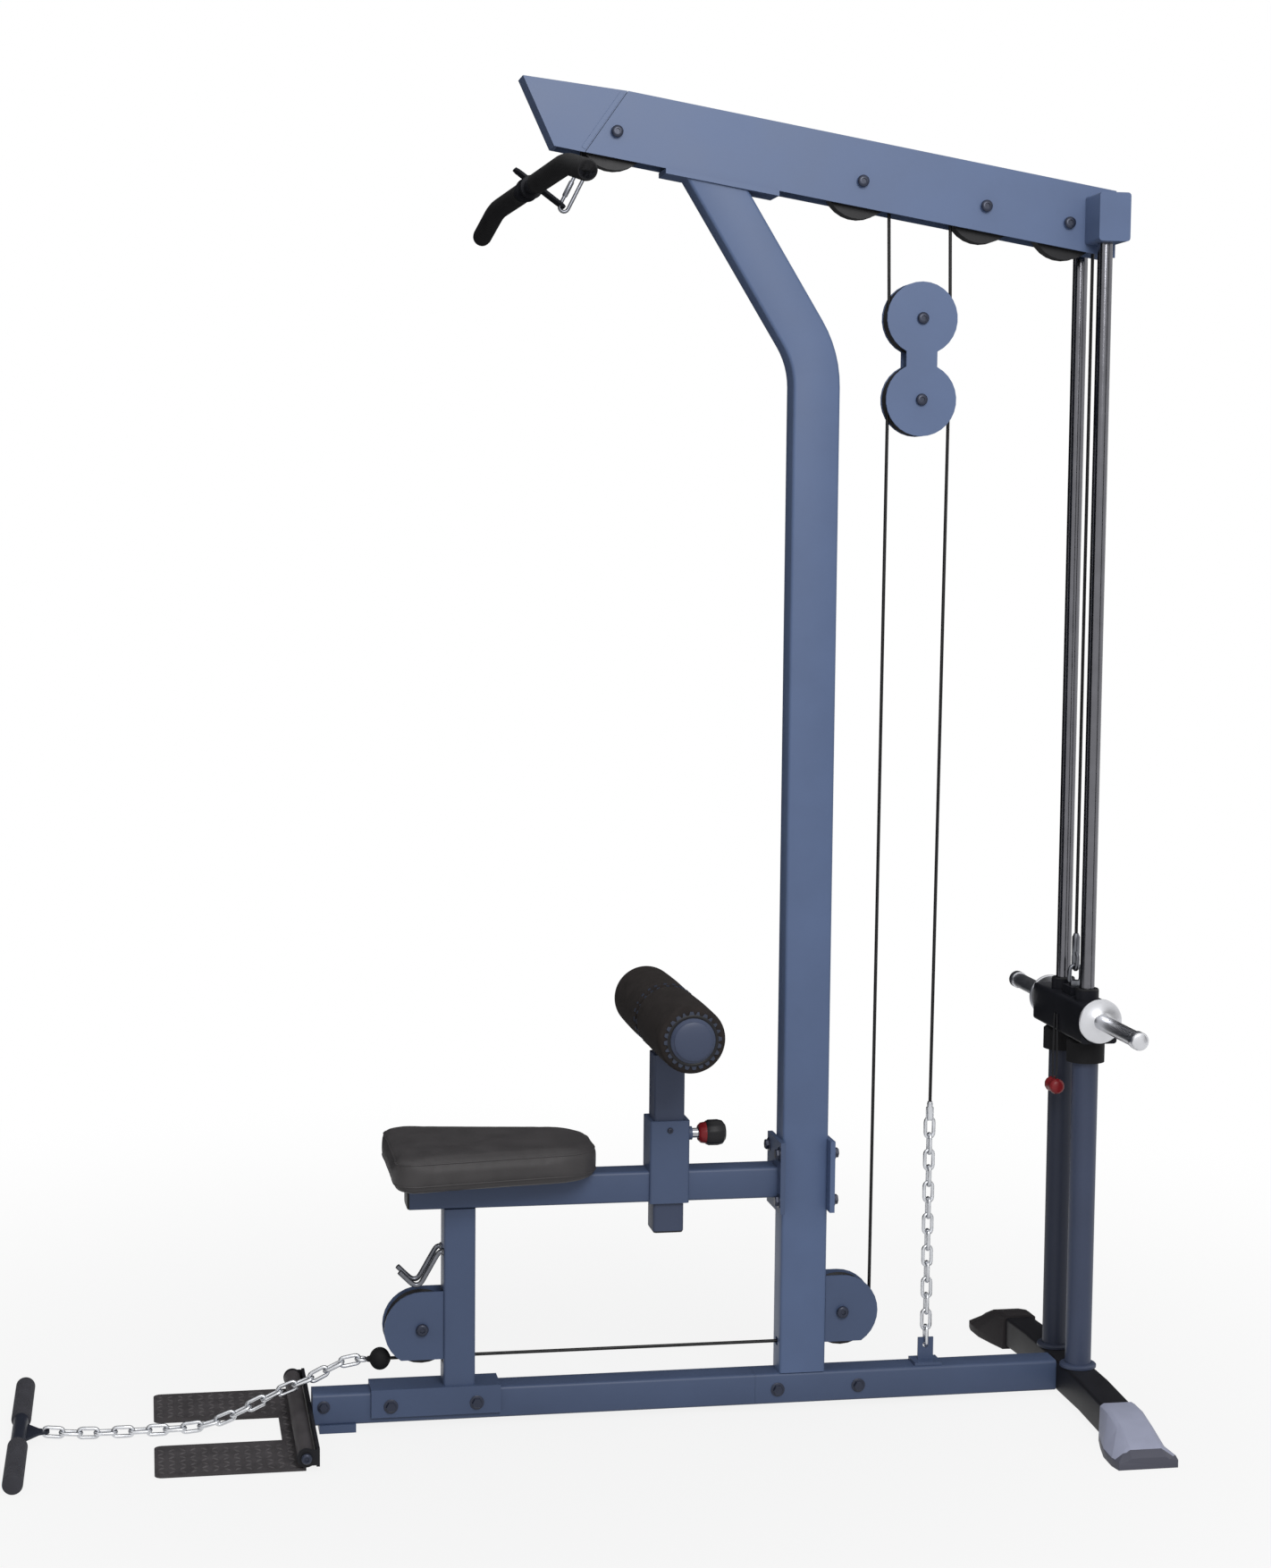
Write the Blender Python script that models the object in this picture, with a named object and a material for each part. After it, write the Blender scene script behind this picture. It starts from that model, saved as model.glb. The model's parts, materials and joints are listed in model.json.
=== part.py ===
"""Plate-loaded lat pulldown and low-row machine. Metres, +Z up, +X to the rear, photographed from -Y."""

import math

import bmesh
import bpy
from mathutils import Matrix, Vector

for old in list(bpy.data.objects):
    bpy.data.objects.remove(old, do_unlink=True)

# Clearances and tube sizes
GAP = 0.0003
TUBE = 0.0508
TUBE_ROUND = 0.005
UPRIGHT_DEPTH = 0.0762

# Base
RAIL_TOP = 0.062
RAIL_FRONT_X = -0.796
RAIL_SEAM_X = -0.0785
CROSS_X = 0.460
CROSS_DROP = 0.006
FOOT_START_Y = 0.245
FOOT_END_Y = 0.385
FOOT_HALF = 0.052
FRONT_PAD_X = (-0.786, -0.728)

# Upright and boom
BEND_DROP = 0.24697
BEND_RADIUS = 0.16
BEND_ANGLE = math.radians(31.8)
BOOM_TILT = math.radians(9.1)
BOOM_TOP_Z = 2.0567
BOOM_TALL = 0.1044
BOOM_HALF = 0.027
BOOM_WALL = 0.004
BOOM_REAR_X = 0.488
SEAM_TOP_X = -0.3077
SEAM_LOW_X = -0.3742
NOSE_TIP_X = -0.4723
NOSE_DROP = 0.00855
NOSE_LOW_X = -0.4231
TOP_PLATE_X = (-0.248, -0.067)
TOP_PLATE_THICK = 0.008
STUB_X = (0.4365, 0.4880)
STUB_DROP = 0.01054
STUB_TALL = 0.076
STUB_END_Y = 0.095

# Pulleys and cables
PULLEY_R = 0.057
PULLEY_HALF = 0.0125
GROOVE_R = 0.0468
CABLE_R = 0.00275
RUN_R = 0.0505
BORE_R = 0.0065
AXLE_R = 0.006
BOLT_HEAD_R = 0.0095
BOOM_BOLT_X = (-0.3254, 0.0679, 0.2707, 0.4094)
BOOM_BOLT_DEEP = 0.0645
FLOAT_X = 0.173
FLOAT_DROP = 0.15276
FLOAT_SPACING = 0.1285
FLOAT_PLATE_R = 0.058
FLOAT_PLATE_Y = (0.014, 0.0175)
FLOAT_WAIST = 64
LOW_Z = 0.160
LOW_FRONT_X = -0.6227
LOW_REAR_X = 0.0665
COVER_R = 0.060
COVER_Y = (0.0165, 0.0205)
COVER_BOTTOM = 0.050
WHEEL_ROOM = 0.0025

# Weight carriage and guides
ROD_Y = 0.058
ROD_R = 0.0120
ROD_ROOM = 0.0006
COLLAR_WALL = 0.0075
POST_R = 0.0213
POST_TOP = 0.573
BUMPER_R = 0.031
BUMPER_TALL = 0.0385
CARRIAGE_HALF_Y = 0.120
CARRIAGE_HALF_X = 0.030
CARRIAGE_TALL = 0.062
WEIGHT_POST_ABOVE = 0.0376
WEIGHT_POST_END = 0.305
WEIGHT_POST_R = 0.0127
FLANGE_R = 0.036
EYE_ABOVE = 0.1176
FERRULE_TALL = 0.045
LOCK_DROP = 0.0904
LOCK_HALF = 0.019
LOCK_R = 0.013
LOCK_REACH = 0.030

# Seat, hold-down and front post
FRONT_POST_X = -0.563
SEAT_RAIL_Z = 0.354
SEAT_RAIL_FRONT = -0.6436
SEAT_X = (-0.678, -0.344)
SEAT_FRONT_HALF = 0.140
SEAT_REAR_HALF = 0.088
SEAT_TALL = 0.057
HOLD_X = -0.2255
SLEEVE_HALF = 0.0325
SLEEVE_BELOW = 0.001
SLEEVE_ABOVE = 0.133
HOLD_HALF = 0.0251
HOLD_BELOW = 0.048
NECK_HALF_X = 0.022
NECK_HALF_Y = 0.005
NECK_TOP = 0.024
ROLLER_ABOVE = 0.296
ROLLER_ROOM = 0.003
ROLLER_R = 0.054
ROLLER_END = 0.205
AXLE_ROLLER_R = 0.0127
CAP_R = 0.035
PIN_ABOVE = 0.106
PIN_R = 0.0048
PIN_STEP = 0.030
FLANGE_BELOW = 0.022
FLANGE_ABOVE = 0.095
FLANGE_HALF = 0.048
SADDLE_AHEAD = 0.141
SADDLE_BEHIND = 0.066

# Low row handle, chain and footplate
HANDLE_X = -1.251
HANDLE_Z = 0.0160
HANDLE_HALF = 0.240
GRIP_R = 0.0155
LINK_WIRE = 0.003
LINK_INNER = 0.026
LINK_HALF_WIDE = 0.0070
TAB_HALF = 0.0019
LINK_BITE = 0.0008
BALL_X = -0.688
BALL_R = 0.018
HINGE_X = -0.8165
HINGE_R = 0.0135
HINGE_Z = 0.022
HINGE_HALF_Y = 0.203
PLATE_X = (-1.044, -0.8165)
PLATE_HALF_Y = 0.1965
PLATE_THICK = 0.0045
PLATE_ROUND = 0.012
SLOT_HALF_Y = 0.061
SLOT_END_X = -0.846
ANCHOR_X = 0.2153
ANCHOR_TOP = 0.4703

# Lat bar
LAT_X = -0.458
LAT_DROP = 0.0876
SNAP_DROP = 0.06050
LAT_STRAIGHT = 0.262
LAT_BEND_R = 0.42
LAT_BEND = math.radians(10.8)
LAT_TAIL = 0.1155
LAT_YAW = math.radians(2.3)
LAT_R = 0.0125
LAT_GRIP_R = 0.016

# Ends of the object along X, used to centre it
FRONT_END = HANDLE_X - GRIP_R
REAR_END = CROSS_X + FOOT_HALF

X_AXIS = Vector((1, 0, 0))
Y_AXIS = Vector((0, 1, 0))
Z_AXIS = Vector((0, 0, 1))


# Materials
def linear(value):
    share = value / 255
    return share / 12.92 if share <= 0.04045 else ((share + 0.055) / 1.055) ** 2.4


def material(name, colour, roughness, metallic):
    made = bpy.data.materials.new(name)
    made.use_nodes = True
    shader = made.node_tree.nodes["Principled BSDF"]
    shader.inputs["Base Color"].default_value = (*map(linear, colour), 1)
    shader.inputs["Roughness"].default_value = roughness
    shader.inputs["Metallic"].default_value = metallic
    return made


PAINT = material("blue_paint", (96, 115, 150), 0.45, 0.0)
BLACK_PAINT = material("black_paint", (38, 39, 46), 0.5, 0.0)
CHROME = material("chrome", (205, 207, 212), 0.12, 1.0)
ZINC = material("zinc", (175, 177, 182), 0.35, 1.0)
RUBBER = material("rubber", (30, 30, 32), 0.8, 0.0)
VINYL = material("vinyl", (40, 39, 41), 0.5, 0.0)
PLASTIC = material("black_plastic", (34, 34, 37), 0.45, 0.0)
GREY = material("grey_plastic", (150, 155, 176), 0.55, 0.0)
TREAD = material("tread_plate", (74, 73, 79), 0.55, 0.6)
RED = material("red_plastic", (190, 40, 45), 0.4, 0.0)


# Mesh building
def solid(name, points, faces, look):
    mesh = bpy.data.meshes.new(name)
    mesh.from_pydata([tuple(p) for p in points], [], faces)
    shape = bmesh.new()
    shape.from_mesh(mesh)
    bmesh.ops.recalc_face_normals(shape, faces=shape.faces)
    shape.to_mesh(mesh)
    shape.free()
    mesh.materials.append(look)
    made = bpy.data.objects.new(name, mesh)
    bpy.context.scene.collection.objects.link(made)
    return made


def sweep(name, look, profile, stations, closed=False):
    """A profile of (side, up) pairs carried along stations of (point, side vector, up vector)."""
    count = len(profile)
    points = [p + s * a + u * b for p, s, u in stations for a, b in profile]
    steps = len(stations) if closed else len(stations) - 1
    faces = []
    for i in range(steps):
        first = i * count
        second = (i + 1) % len(stations) * count
        for j in range(count):
            k = (j + 1) % count
            faces.append((first + j, first + k, second + k, second + j))
    if not closed:
        faces.append(tuple(range(count)))
        faces.append(tuple(range(len(points) - count, len(points))))
    return solid(name, points, faces, look)


def prism(name, look, outline, low, high):
    """An outline of (x, z) pairs between two values of y."""
    stations = [(Y_AXIS * y, X_AXIS, Z_AXIS) for y in (low, high)]
    return sweep(name, look, outline, stations)


def box(name, look, x, y, z, round_axis=None):
    """A box between pairs of limits; round_axis names the axis along which its four edges are rounded."""
    middle = Vector((sum(x) / 2, sum(y) / 2, sum(z) / 2))
    half = Vector((x[1] - x[0], y[1] - y[0], z[1] - z[0])) / 2
    axes = (X_AXIS, Y_AXIS, Z_AXIS)
    along = round_axis if round_axis is not None else 2
    side, up = [i for i in range(3) if i != along]
    radius = TUBE_ROUND if round_axis is not None else 0
    profile = rounded(half[side], half[up], radius)
    stations = [(middle + axes[along] * half[along] * end, axes[side], axes[up]) for end in (-1, 1)]
    return sweep(name, look, profile, stations)


def rounded(half_a, half_b, radius, steps=3):
    if not radius:
        return [(-half_a, -half_b), (half_a, -half_b), (half_a, half_b), (-half_a, half_b)]
    points = []
    for quarter, (sa, sb) in enumerate(((1, 1), (-1, 1), (-1, -1), (1, -1))):
        for step in range(steps + 1):
            turn = math.pi / 2 * (quarter + step / steps)
            a = sa * (half_a - radius) + radius * math.cos(turn)
            b = sb * (half_b - radius) + radius * math.sin(turn)
            points.append((a, b))
    return points


def circle(radius, count, start=0.0):
    turns = [start + 2 * math.pi * i / count for i in range(count)]
    return [(radius * math.cos(t), radius * math.sin(t)) for t in turns]


def lathe(name, look, centre, axis, profile, count=24, ring=False):
    """Turns (radius, distance) pairs about an axis; ring joins the last pair to the first round a bore."""
    side = Y_AXIS if axis is not Y_AXIS else X_AXIS
    up = axis.cross(side)
    points = []
    rings = []
    for radius, distance in profile:
        middle = Vector(centre) + axis * distance
        if radius == 0:
            rings.append([len(points)])
            points.append(middle)
            continue
        rings.append(list(range(len(points), len(points) + count)))
        points += [middle + side * a + up * b for a, b in circle(radius, count)]
    pairs = list(zip(rings, rings[1:]))
    if ring:
        pairs.append((rings[-1], rings[0]))
    faces = []
    for low, high in pairs:
        for j in range(count):
            k = (j + 1) % count
            corners = [low[j % len(low)], low[k % len(low)], high[k % len(high)], high[j % len(high)]]
            faces.append(tuple(dict.fromkeys(corners)))
    return solid(name, points, faces, look)


def rod(name, look, centre, axis, radius, low, high, count=20):
    return lathe(name, look, centre, axis, [(0, low), (radius, low), (radius, high), (0, high)], count)


def along(path, flat):
    """Stations on a path that lies in a plane with normal flat."""
    stations = []
    for i, point in enumerate(path):
        ahead = path[min(i + 1, len(path) - 1)] - path[max(i - 1, 0)]
        up = ahead.cross(flat).normalized()
        stations.append((point, flat, up))
    return stations


def wire(name, look, path, radius, flat=Y_AXIS, count=6):
    return sweep(name, look, circle(radius, count, math.pi / count), along(path, flat))


def arc(x, z, radius, start, end, step=12):
    """Points in the XZ plane, angles in degrees from +X towards +Z."""
    count = max(2, math.ceil(abs(end - start) / step))
    turns = [math.radians(start + (end - start) * i / count) for i in range(count + 1)]
    return [Vector((x + radius * math.cos(t), 0, z + radius * math.sin(t))) for t in turns]


def combine(target, others, operation):
    for other in others:
        step = target.modifiers.new(operation, "BOOLEAN")
        step.operation = operation
        step.object = other
        step.solver = "EXACT"
    bpy.context.view_layer.update()
    graph = bpy.context.evaluated_depsgraph_get()
    mesh = bpy.data.meshes.new_from_object(target.evaluated_get(graph))
    target.modifiers.clear()
    target.data = mesh
    mesh.materials.clear()
    mesh.materials.append(LOOKS[target.name])
    for other in others:
        bpy.data.objects.remove(other, do_unlink=True)
    return target


LOOKS = {}


def fuse(target, *others):
    LOOKS[target.name] = target.data.materials[0]
    return combine(target, others, "UNION")


def cut(target, *others):
    LOOKS[target.name] = target.data.materials[0]
    return combine(target, others, "DIFFERENCE")


def origin(target, point):
    """Moves the object's origin, and not its shape, to a point of its joint axis."""
    here = Vector(point)
    for vertex in target.data.vertices:
        vertex.co -= here
    target.location = here
    return target


# Boom lines: heights of the tilted top and bottom edges
def boom_top(x):
    return BOOM_TOP_Z - x * math.tan(BOOM_TILT)


def boom_low(x):
    return boom_top(x) - BOOM_TALL / math.cos(BOOM_TILT)


def boom_bolt_z(x):
    return boom_top(x) - BOOM_BOLT_DEEP / math.cos(BOOM_TILT)


# Heights that hang from the boom, and those that stand on the seat rail or the guide posts
BEND_Z = boom_low(0) - BEND_DROP
NOSE_TIP = (NOSE_TIP_X, boom_top(NOSE_TIP_X) - NOSE_DROP)
STUB_Z = (boom_top(BOOM_REAR_X) - STUB_DROP - STUB_TALL, boom_top(BOOM_REAR_X) - STUB_DROP)
FLOAT_TOP_Z = boom_low(FLOAT_X) - FLOAT_DROP
FLOAT_LOW_Z = FLOAT_TOP_Z - FLOAT_SPACING
LAT_Z = boom_bolt_z(BOOM_BOLT_X[0]) - LAT_DROP
SLEEVE_Z = (SEAT_RAIL_Z - SLEEVE_BELOW, SEAT_RAIL_Z + SLEEVE_ABOVE)
FLANGE_Z = (SEAT_RAIL_Z - FLANGE_BELOW, SEAT_RAIL_Z + FLANGE_ABOVE)
PIN_Z = SEAT_RAIL_Z + PIN_ABOVE
ROLLER_Z = SEAT_RAIL_Z + ROLLER_ABOVE
HOLD_Z = (SEAT_RAIL_Z - HOLD_BELOW, ROLLER_Z - ROLLER_R - ROLLER_ROOM)
CARRIAGE_Z = POST_TOP + BUMPER_TALL + 3 * GAP
WEIGHT_POST_Z = CARRIAGE_Z + WEIGHT_POST_ABOVE
EYE_Z = CARRIAGE_Z + EYE_ABOVE
EYE_TOP = EYE_Z + FERRULE_TALL


# Base rails, rear crossmember and feet
def base():
    half = TUBE / 2
    low = RAIL_TOP - TUBE
    rail = box("front_base_rail", PAINT, (RAIL_FRONT_X, RAIL_SEAM_X - GAP), (-half, half), (low, RAIL_TOP), 0)
    pad = box("front_pad", PAINT, FRONT_PAD_X, (-0.030, 0.030), (0, low + 0.002))
    fuse(rail, pad)
    rear_end = CROSS_X - half - GAP
    box("rear_base_rail", PAINT, (RAIL_SEAM_X, rear_end), (-half, half), (low, RAIL_TOP), 0)
    stations = []
    for y, drop in ((-1, 1), (-0.55, 0), (0.55, 0), (1, 1)):
        middle = Vector((CROSS_X, y * (FOOT_START_Y - GAP), RAIL_TOP - half - drop * CROSS_DROP))
        stations.append((middle, X_AXIS, Z_AXIS))
    sweep("rear_crossmember", PAINT, rounded(half, half, TUBE_ROUND), stations)
    for side, name in ((-1, "rear_foot_near"), (1, "rear_foot_far")):
        foot(name, side)


def foot(name, side):
    """A plastic end shoe: a narrow top over a wide sole, sloping down to its tip."""
    top = RAIL_TOP - CROSS_DROP + 0.004
    shape = (
        (0.00, 0.030, 0.029, top),
        (0.25, 0.040, 0.029, top - 0.001),
        (0.55, 0.050, 0.029, top * 0.82),
        (0.85, 0.052, 0.030, top * 0.52),
        (1.00, 0.048, 0.034, top * 0.30),
    )
    points = []
    for share, low, high, tall in shape:
        y = side * (FOOT_START_Y + share * (FOOT_END_Y - FOOT_START_Y))
        ring = ((-low, 0), (low, 0), (low, 0.012), (high, tall - 0.004), (high - 0.006, tall))
        ring += ((-high + 0.006, tall), (-high, tall - 0.004), (-low, 0.012))
        points.append([Vector((CROSS_X + a, y, b)) for a, b in ring])
    count = len(points[0])
    flat = [p for ring in points for p in ring]
    faces = [tuple(range(count)), tuple(range(len(flat) - count, len(flat)))]
    for i in range(len(points) - 1):
        for j in range(count):
            k = (j + 1) % count
            faces.append((i * count + j, i * count + k, (i + 1) * count + k, (i + 1) * count + j))
    solid(name, flat, faces, GREY)


# Upright with its bend, the plate under the boom and the bolted backing plate
def upright():
    half_x, half_y = UPRIGHT_DEPTH / 2, TUBE / 2
    reach = BEND_RADIUS * math.tan(BEND_ANGLE / 2)
    path = [(Vector((0, 0, RAIL_TOP + GAP)), 0.0)]
    steps = 6
    for i in range(steps + 1):
        turn = BEND_ANGLE * i / steps
        x = -BEND_RADIUS * (1 - math.cos(turn))
        z = BEND_Z - reach + BEND_RADIUS * math.sin(turn)
        path.append((Vector((x, 0, z)), turn))
    stations = [(p, Vector((math.cos(t), 0, math.sin(t))), Y_AXIS) for p, t in path]
    # The top end lies in the plane of the plate below the boom.
    heading = Vector((-math.sin(BEND_ANGLE), 0, math.cos(BEND_ANGLE)))
    face = Vector((math.sin(BOOM_TILT), 0, math.cos(BOOM_TILT)))
    last, side, _ = stations[-1]
    level = Vector((0, 0, boom_low(0) - TOP_PLATE_THICK * 0.6))
    top = last + heading * ((level - last).dot(face) / heading.dot(face))
    skew = side - heading * (side.dot(face) / heading.dot(face))
    stations.append((top, skew, Y_AXIS))
    post = sweep("upright", PAINT, rounded(half_x, half_y, TUBE_ROUND), stations)
    plate = []
    for x, low in ((0, 0), (1, 0), (1, 1), (0, 1)):
        at = TOP_PLATE_X[x]
        plate.append((at, boom_low(at) - GAP * 1.5 - low * TOP_PLATE_THICK))
    cap = prism("top_plate", PAINT, plate, -BOOM_HALF - 0.004, BOOM_HALF + 0.004)
    backing = box("backing", PAINT, (half_x - 0.002, half_x + 0.006), (-FLANGE_HALF, FLANGE_HALF), FLANGE_Z)
    fuse(post, cap, backing)
    run = LOW_Z - RUN_R
    slot = box("slot", PAINT, (-0.1, 0.02), (-0.007, 0.007), (run - 0.007, run + 0.007))
    cut(post, slot, wheel_pocket(LOW_REAR_X - PULLEY_R - WHEEL_ROOM, 0.1))


def wheel_pocket(low_x, high_x):
    """The cutter for the mouth that lets a low pulley into its post."""
    tall = PULLEY_R + WHEEL_ROOM
    wide = PULLEY_HALF + WHEEL_ROOM
    return box("pocket", PAINT, (low_x, high_x), (-wide, wide), (LOW_Z - tall, LOW_Z + tall))


# Boom channel with its pulley bolts, nose cap and the stubs that hold the guide rods
def boom():
    outer = [(SEAM_TOP_X, boom_top(SEAM_TOP_X)), (BOOM_REAR_X, boom_top(BOOM_REAR_X))]
    outer += [(BOOM_REAR_X, boom_low(BOOM_REAR_X)), (SEAM_LOW_X, boom_low(SEAM_LOW_X))]
    channel = prism("boom_channel", PAINT, outer, -BOOM_HALF, BOOM_HALF)
    inner_half = BOOM_HALF - BOOM_WALL
    roof = BOOM_WALL / math.cos(BOOM_TILT)
    ends = (SEAM_LOW_X - 0.1, BOOM_REAR_X + 0.1)
    hollow = [(x, boom_top(x) - roof) for x in ends] + [(x, boom_low(x) - 0.05) for x in reversed(ends)]
    cut(channel, prism("hollow", PAINT, hollow, -inner_half, inner_half))
    bolts = []
    for i, x in enumerate(BOOM_BOLT_X):
        bolts.append(bolt(f"boom_bolt_{i}", (x, 0, boom_bolt_z(x)), BOOM_HALF + 0.0065))
    fuse(channel, *bolts)
    step = 0.0010
    nose = [NOSE_TIP, (SEAM_TOP_X - step, boom_top(SEAM_TOP_X))]
    nose += [(SEAM_LOW_X - step, boom_low(SEAM_LOW_X)), (NOSE_LOW_X, boom_low(NOSE_LOW_X))]
    cap = prism("boom_nose", PAINT, nose, -BOOM_HALF, BOOM_HALF)
    wall = BOOM_WALL + 0.001
    front = NOSE_LOW_X + 1.2 * wall
    room = [(NOSE_TIP[0] + 2.2 * wall, NOSE_TIP[1] - 1.4 * wall)]
    room.append((SEAM_TOP_X + 0.05, boom_top(SEAM_TOP_X) - wall))
    room.append((SEAM_LOW_X + 0.05, boom_low(SEAM_LOW_X) - 0.05))
    room += [(front, boom_low(NOSE_LOW_X) - 0.05), (front, boom_low(NOSE_LOW_X))]
    cut(cap, prism("room", PAINT, room, -inner_half, inner_half))
    for side, name in ((-1, "top_stub_near"), (1, "top_stub_far")):
        ends = sorted((side * (BOOM_HALF + GAP), side * STUB_END_Y))
        box(name, PAINT, STUB_X, ends, STUB_Z, 1)


def bolt(name, centre, half):
    hub = PULLEY_HALF + GAP
    profile = [(0, -half), (BOLT_HEAD_R, -half), (BOLT_HEAD_R, -hub), (AXLE_R, -hub)]
    profile += [(r, -t) for r, t in reversed(profile)]
    return lathe(name, PAINT, centre, Y_AXIS, profile, 12)


# Pulleys
def pulley(name, x, z):
    profile = [(BORE_R, -PULLEY_HALF), (PULLEY_R, -PULLEY_HALF), (GROOVE_R, -0.0042)]
    profile += [(r, -t) for r, t in reversed(profile)]
    made = lathe(name, PLASTIC, (x, 0, z), Y_AXIS, profile, 28, True)
    return origin(made, (x, 0, z))


def pulleys():
    for i, x in enumerate(BOOM_BOLT_X):
        pulley(f"boom_pulley_{i + 1}", x, boom_bolt_z(x))
    pulley("low_front_pulley", LOW_FRONT_X, LOW_Z)
    pulley("low_rear_pulley", LOW_REAR_X, LOW_Z)
    pulley("float_wheel_upper", FLOAT_X, FLOAT_TOP_Z)
    pulley("float_wheel_lower", FLOAT_X, FLOAT_LOW_Z)


# Floating block: two waisted plates joined by the wheel bolts
def float_block():
    turns = arc(FLOAT_X, FLOAT_TOP_Z, FLOAT_PLATE_R, -FLOAT_WAIST, 180 + FLOAT_WAIST, 12)
    turns += arc(FLOAT_X, FLOAT_LOW_Z, FLOAT_PLATE_R, 180 - FLOAT_WAIST, 360 + FLOAT_WAIST, 12)
    outline = [(p.x, p.z) for p in turns]
    inner, outer = FLOAT_PLATE_Y
    near = prism("float_bracket", PAINT, outline, -outer, -inner)
    far = prism("far_plate", PAINT, outline, inner, outer)
    bolts = [bolt(f"float_bolt_{z}", (FLOAT_X, 0, z), outer + 0.004) for z in (FLOAT_TOP_Z, FLOAT_LOW_Z)]
    fuse(near, far, *bolts)
    origin(near, (FLOAT_X, 0, (FLOAT_TOP_Z + FLOAT_LOW_Z) / 2))


# Low pulley brackets on the front post and behind the upright
def low_bracket(name, x, face_x, side):
    """side is the direction in which the pulley stands out from its post."""
    inner, outer = COVER_Y
    # The round end stops at the mounting face or at the flat bottom, whichever comes first.
    low = math.degrees(math.asin(COVER_BOTTOM / COVER_R))
    turns = arc(0, 0, COVER_R, -low, 90)
    outline = [(x + side * p.x, LOW_Z + p.z) for p in turns]
    outline = [(p, z) for p, z in outline if (p - face_x) * side > 0.001]
    high = outline[-1][1]
    outline += [(face_x + side * GAP, high), (face_x + side * GAP, LOW_Z - COVER_BOTTOM)]
    near = prism(name, PAINT, outline, -outer, -inner)
    far = prism("far_cover", PAINT, outline, inner, outer)
    fuse(near, far, bolt("cover_bolt", (x, 0, LOW_Z), outer + 0.005))


# Guide posts, bumpers and chrome rods
def guides():
    for side, end in ((-1, "near"), (1, "far")):
        at = (CROSS_X, side * ROD_Y, 0)
        rod(f"guide_post_{end}", PAINT, at, Z_AXIS, POST_R, RAIL_TOP + GAP, POST_TOP, 28)
        low = POST_TOP + GAP
        profile = [(ROD_R + GAP, low), (BUMPER_R, low), (BUMPER_R, low + BUMPER_TALL - 0.005)]
        profile += [(BUMPER_R - 0.006, low + BUMPER_TALL), (ROD_R + GAP, low + BUMPER_TALL)]
        lathe(f"bumper_{end}", RUBBER, at, Z_AXIS, profile, 28, True)
        rod(f"guide_rod_{end}", CHROME, at, Z_AXIS, ROD_R, low, STUB_Z[0] - GAP, 24)


# Weight carriage, its two posts, lifting eye and lock pin
def carriage():
    low = CARRIAGE_Z
    high = low + CARRIAGE_TALL
    ends = (CROSS_X - CARRIAGE_HALF_X, CROSS_X + CARRIAGE_HALF_X)
    frame = box("carriage_frame", BLACK_PAINT, ends, (-CARRIAGE_HALF_Y, CARRIAGE_HALF_Y), (low, high), 1)
    collars = []
    bores = []
    for side in (-1, 1):
        at = (CROSS_X, side * ROD_Y, 0)
        outer = ROD_R + COLLAR_WALL
        collars.append(rod("collar", BLACK_PAINT, at, Z_AXIS, outer, low + 0.01, high + 0.016, 24))
        inner = ROD_R + ROD_ROOM
        bores.append(rod("bore", BLACK_PAINT, at, Z_AXIS, inner, low - 0.1, high + 0.1, 24))
    wide = (CROSS_X - 0.014, CROSS_X + 0.014)
    lug = box("lug", BLACK_PAINT, wide, (-0.02, 0.02), (high - 0.01, high + 0.014))
    fuse(frame, lug, *collars)
    cut(frame, *bores)
    for side, end in ((-1, "near"), (1, "far")):
        start = CARRIAGE_HALF_Y + GAP
        profile = [(0, start), (FLANGE_R, start), (FLANGE_R, start + 0.009), (WEIGHT_POST_R, start + 0.009)]
        tip = WEIGHT_POST_END
        profile += [(WEIGHT_POST_R, tip - 0.02), (WEIGHT_POST_R + 0.0018, tip - 0.018)]
        profile += [(WEIGHT_POST_R + 0.0018, tip - 0.003), (WEIGHT_POST_R - 0.001, tip), (0, tip)]
        turned = [(r, side * t) for r, t in profile]
        lathe(f"weight_post_{end}", CHROME, (CROSS_X, 0, WEIGHT_POST_Z), Y_AXIS, turned, 28)
    lift = high + 0.014 + GAP
    shank = rod("carriage_eye", CHROME, (CROSS_X, 0, 0), Z_AXIS, 0.0055, lift, EYE_Z - 0.009, 16)
    ring = [(Vector((CROSS_X, 0, EYE_Z)) + p, Y_AXIS, p.normalized()) for p in arc(0, 0, 0.0125, 0, 342, 18)]
    hoop = sweep("hoop", CHROME, circle(0.004, 8), ring, True)
    ferrule = rod("ferrule", CHROME, (CROSS_X, 0, 0), Z_AXIS, 0.0065, EYE_Z + 0.010, EYE_TOP, 16)
    fuse(shank, hoop, ferrule)
    face = CROSS_X - CARRIAGE_HALF_X - GAP
    hang = low - LOCK_DROP
    strap = box("lock_pin", RED, (face - 0.0025, face), (-0.004, 0.004), (hang + 0.006, low + 0.03))
    profile = [(0, -LOCK_HALF), (LOCK_R - 0.004, -LOCK_HALF), (LOCK_R, -LOCK_HALF + 0.006)]
    profile += [(LOCK_R - 0.003, 0), (LOCK_R, LOCK_HALF - 0.006), (LOCK_R - 0.004, LOCK_HALF)]
    profile += [(0.0045, LOCK_HALF), (0.0045, LOCK_REACH - 0.003), (0.003, LOCK_REACH), (0, LOCK_REACH)]
    pin = lathe("pin", RED, (face - 0.0013, 0, hang), Y_AXIS, profile, 16)
    fuse(strap, pin)


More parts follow.
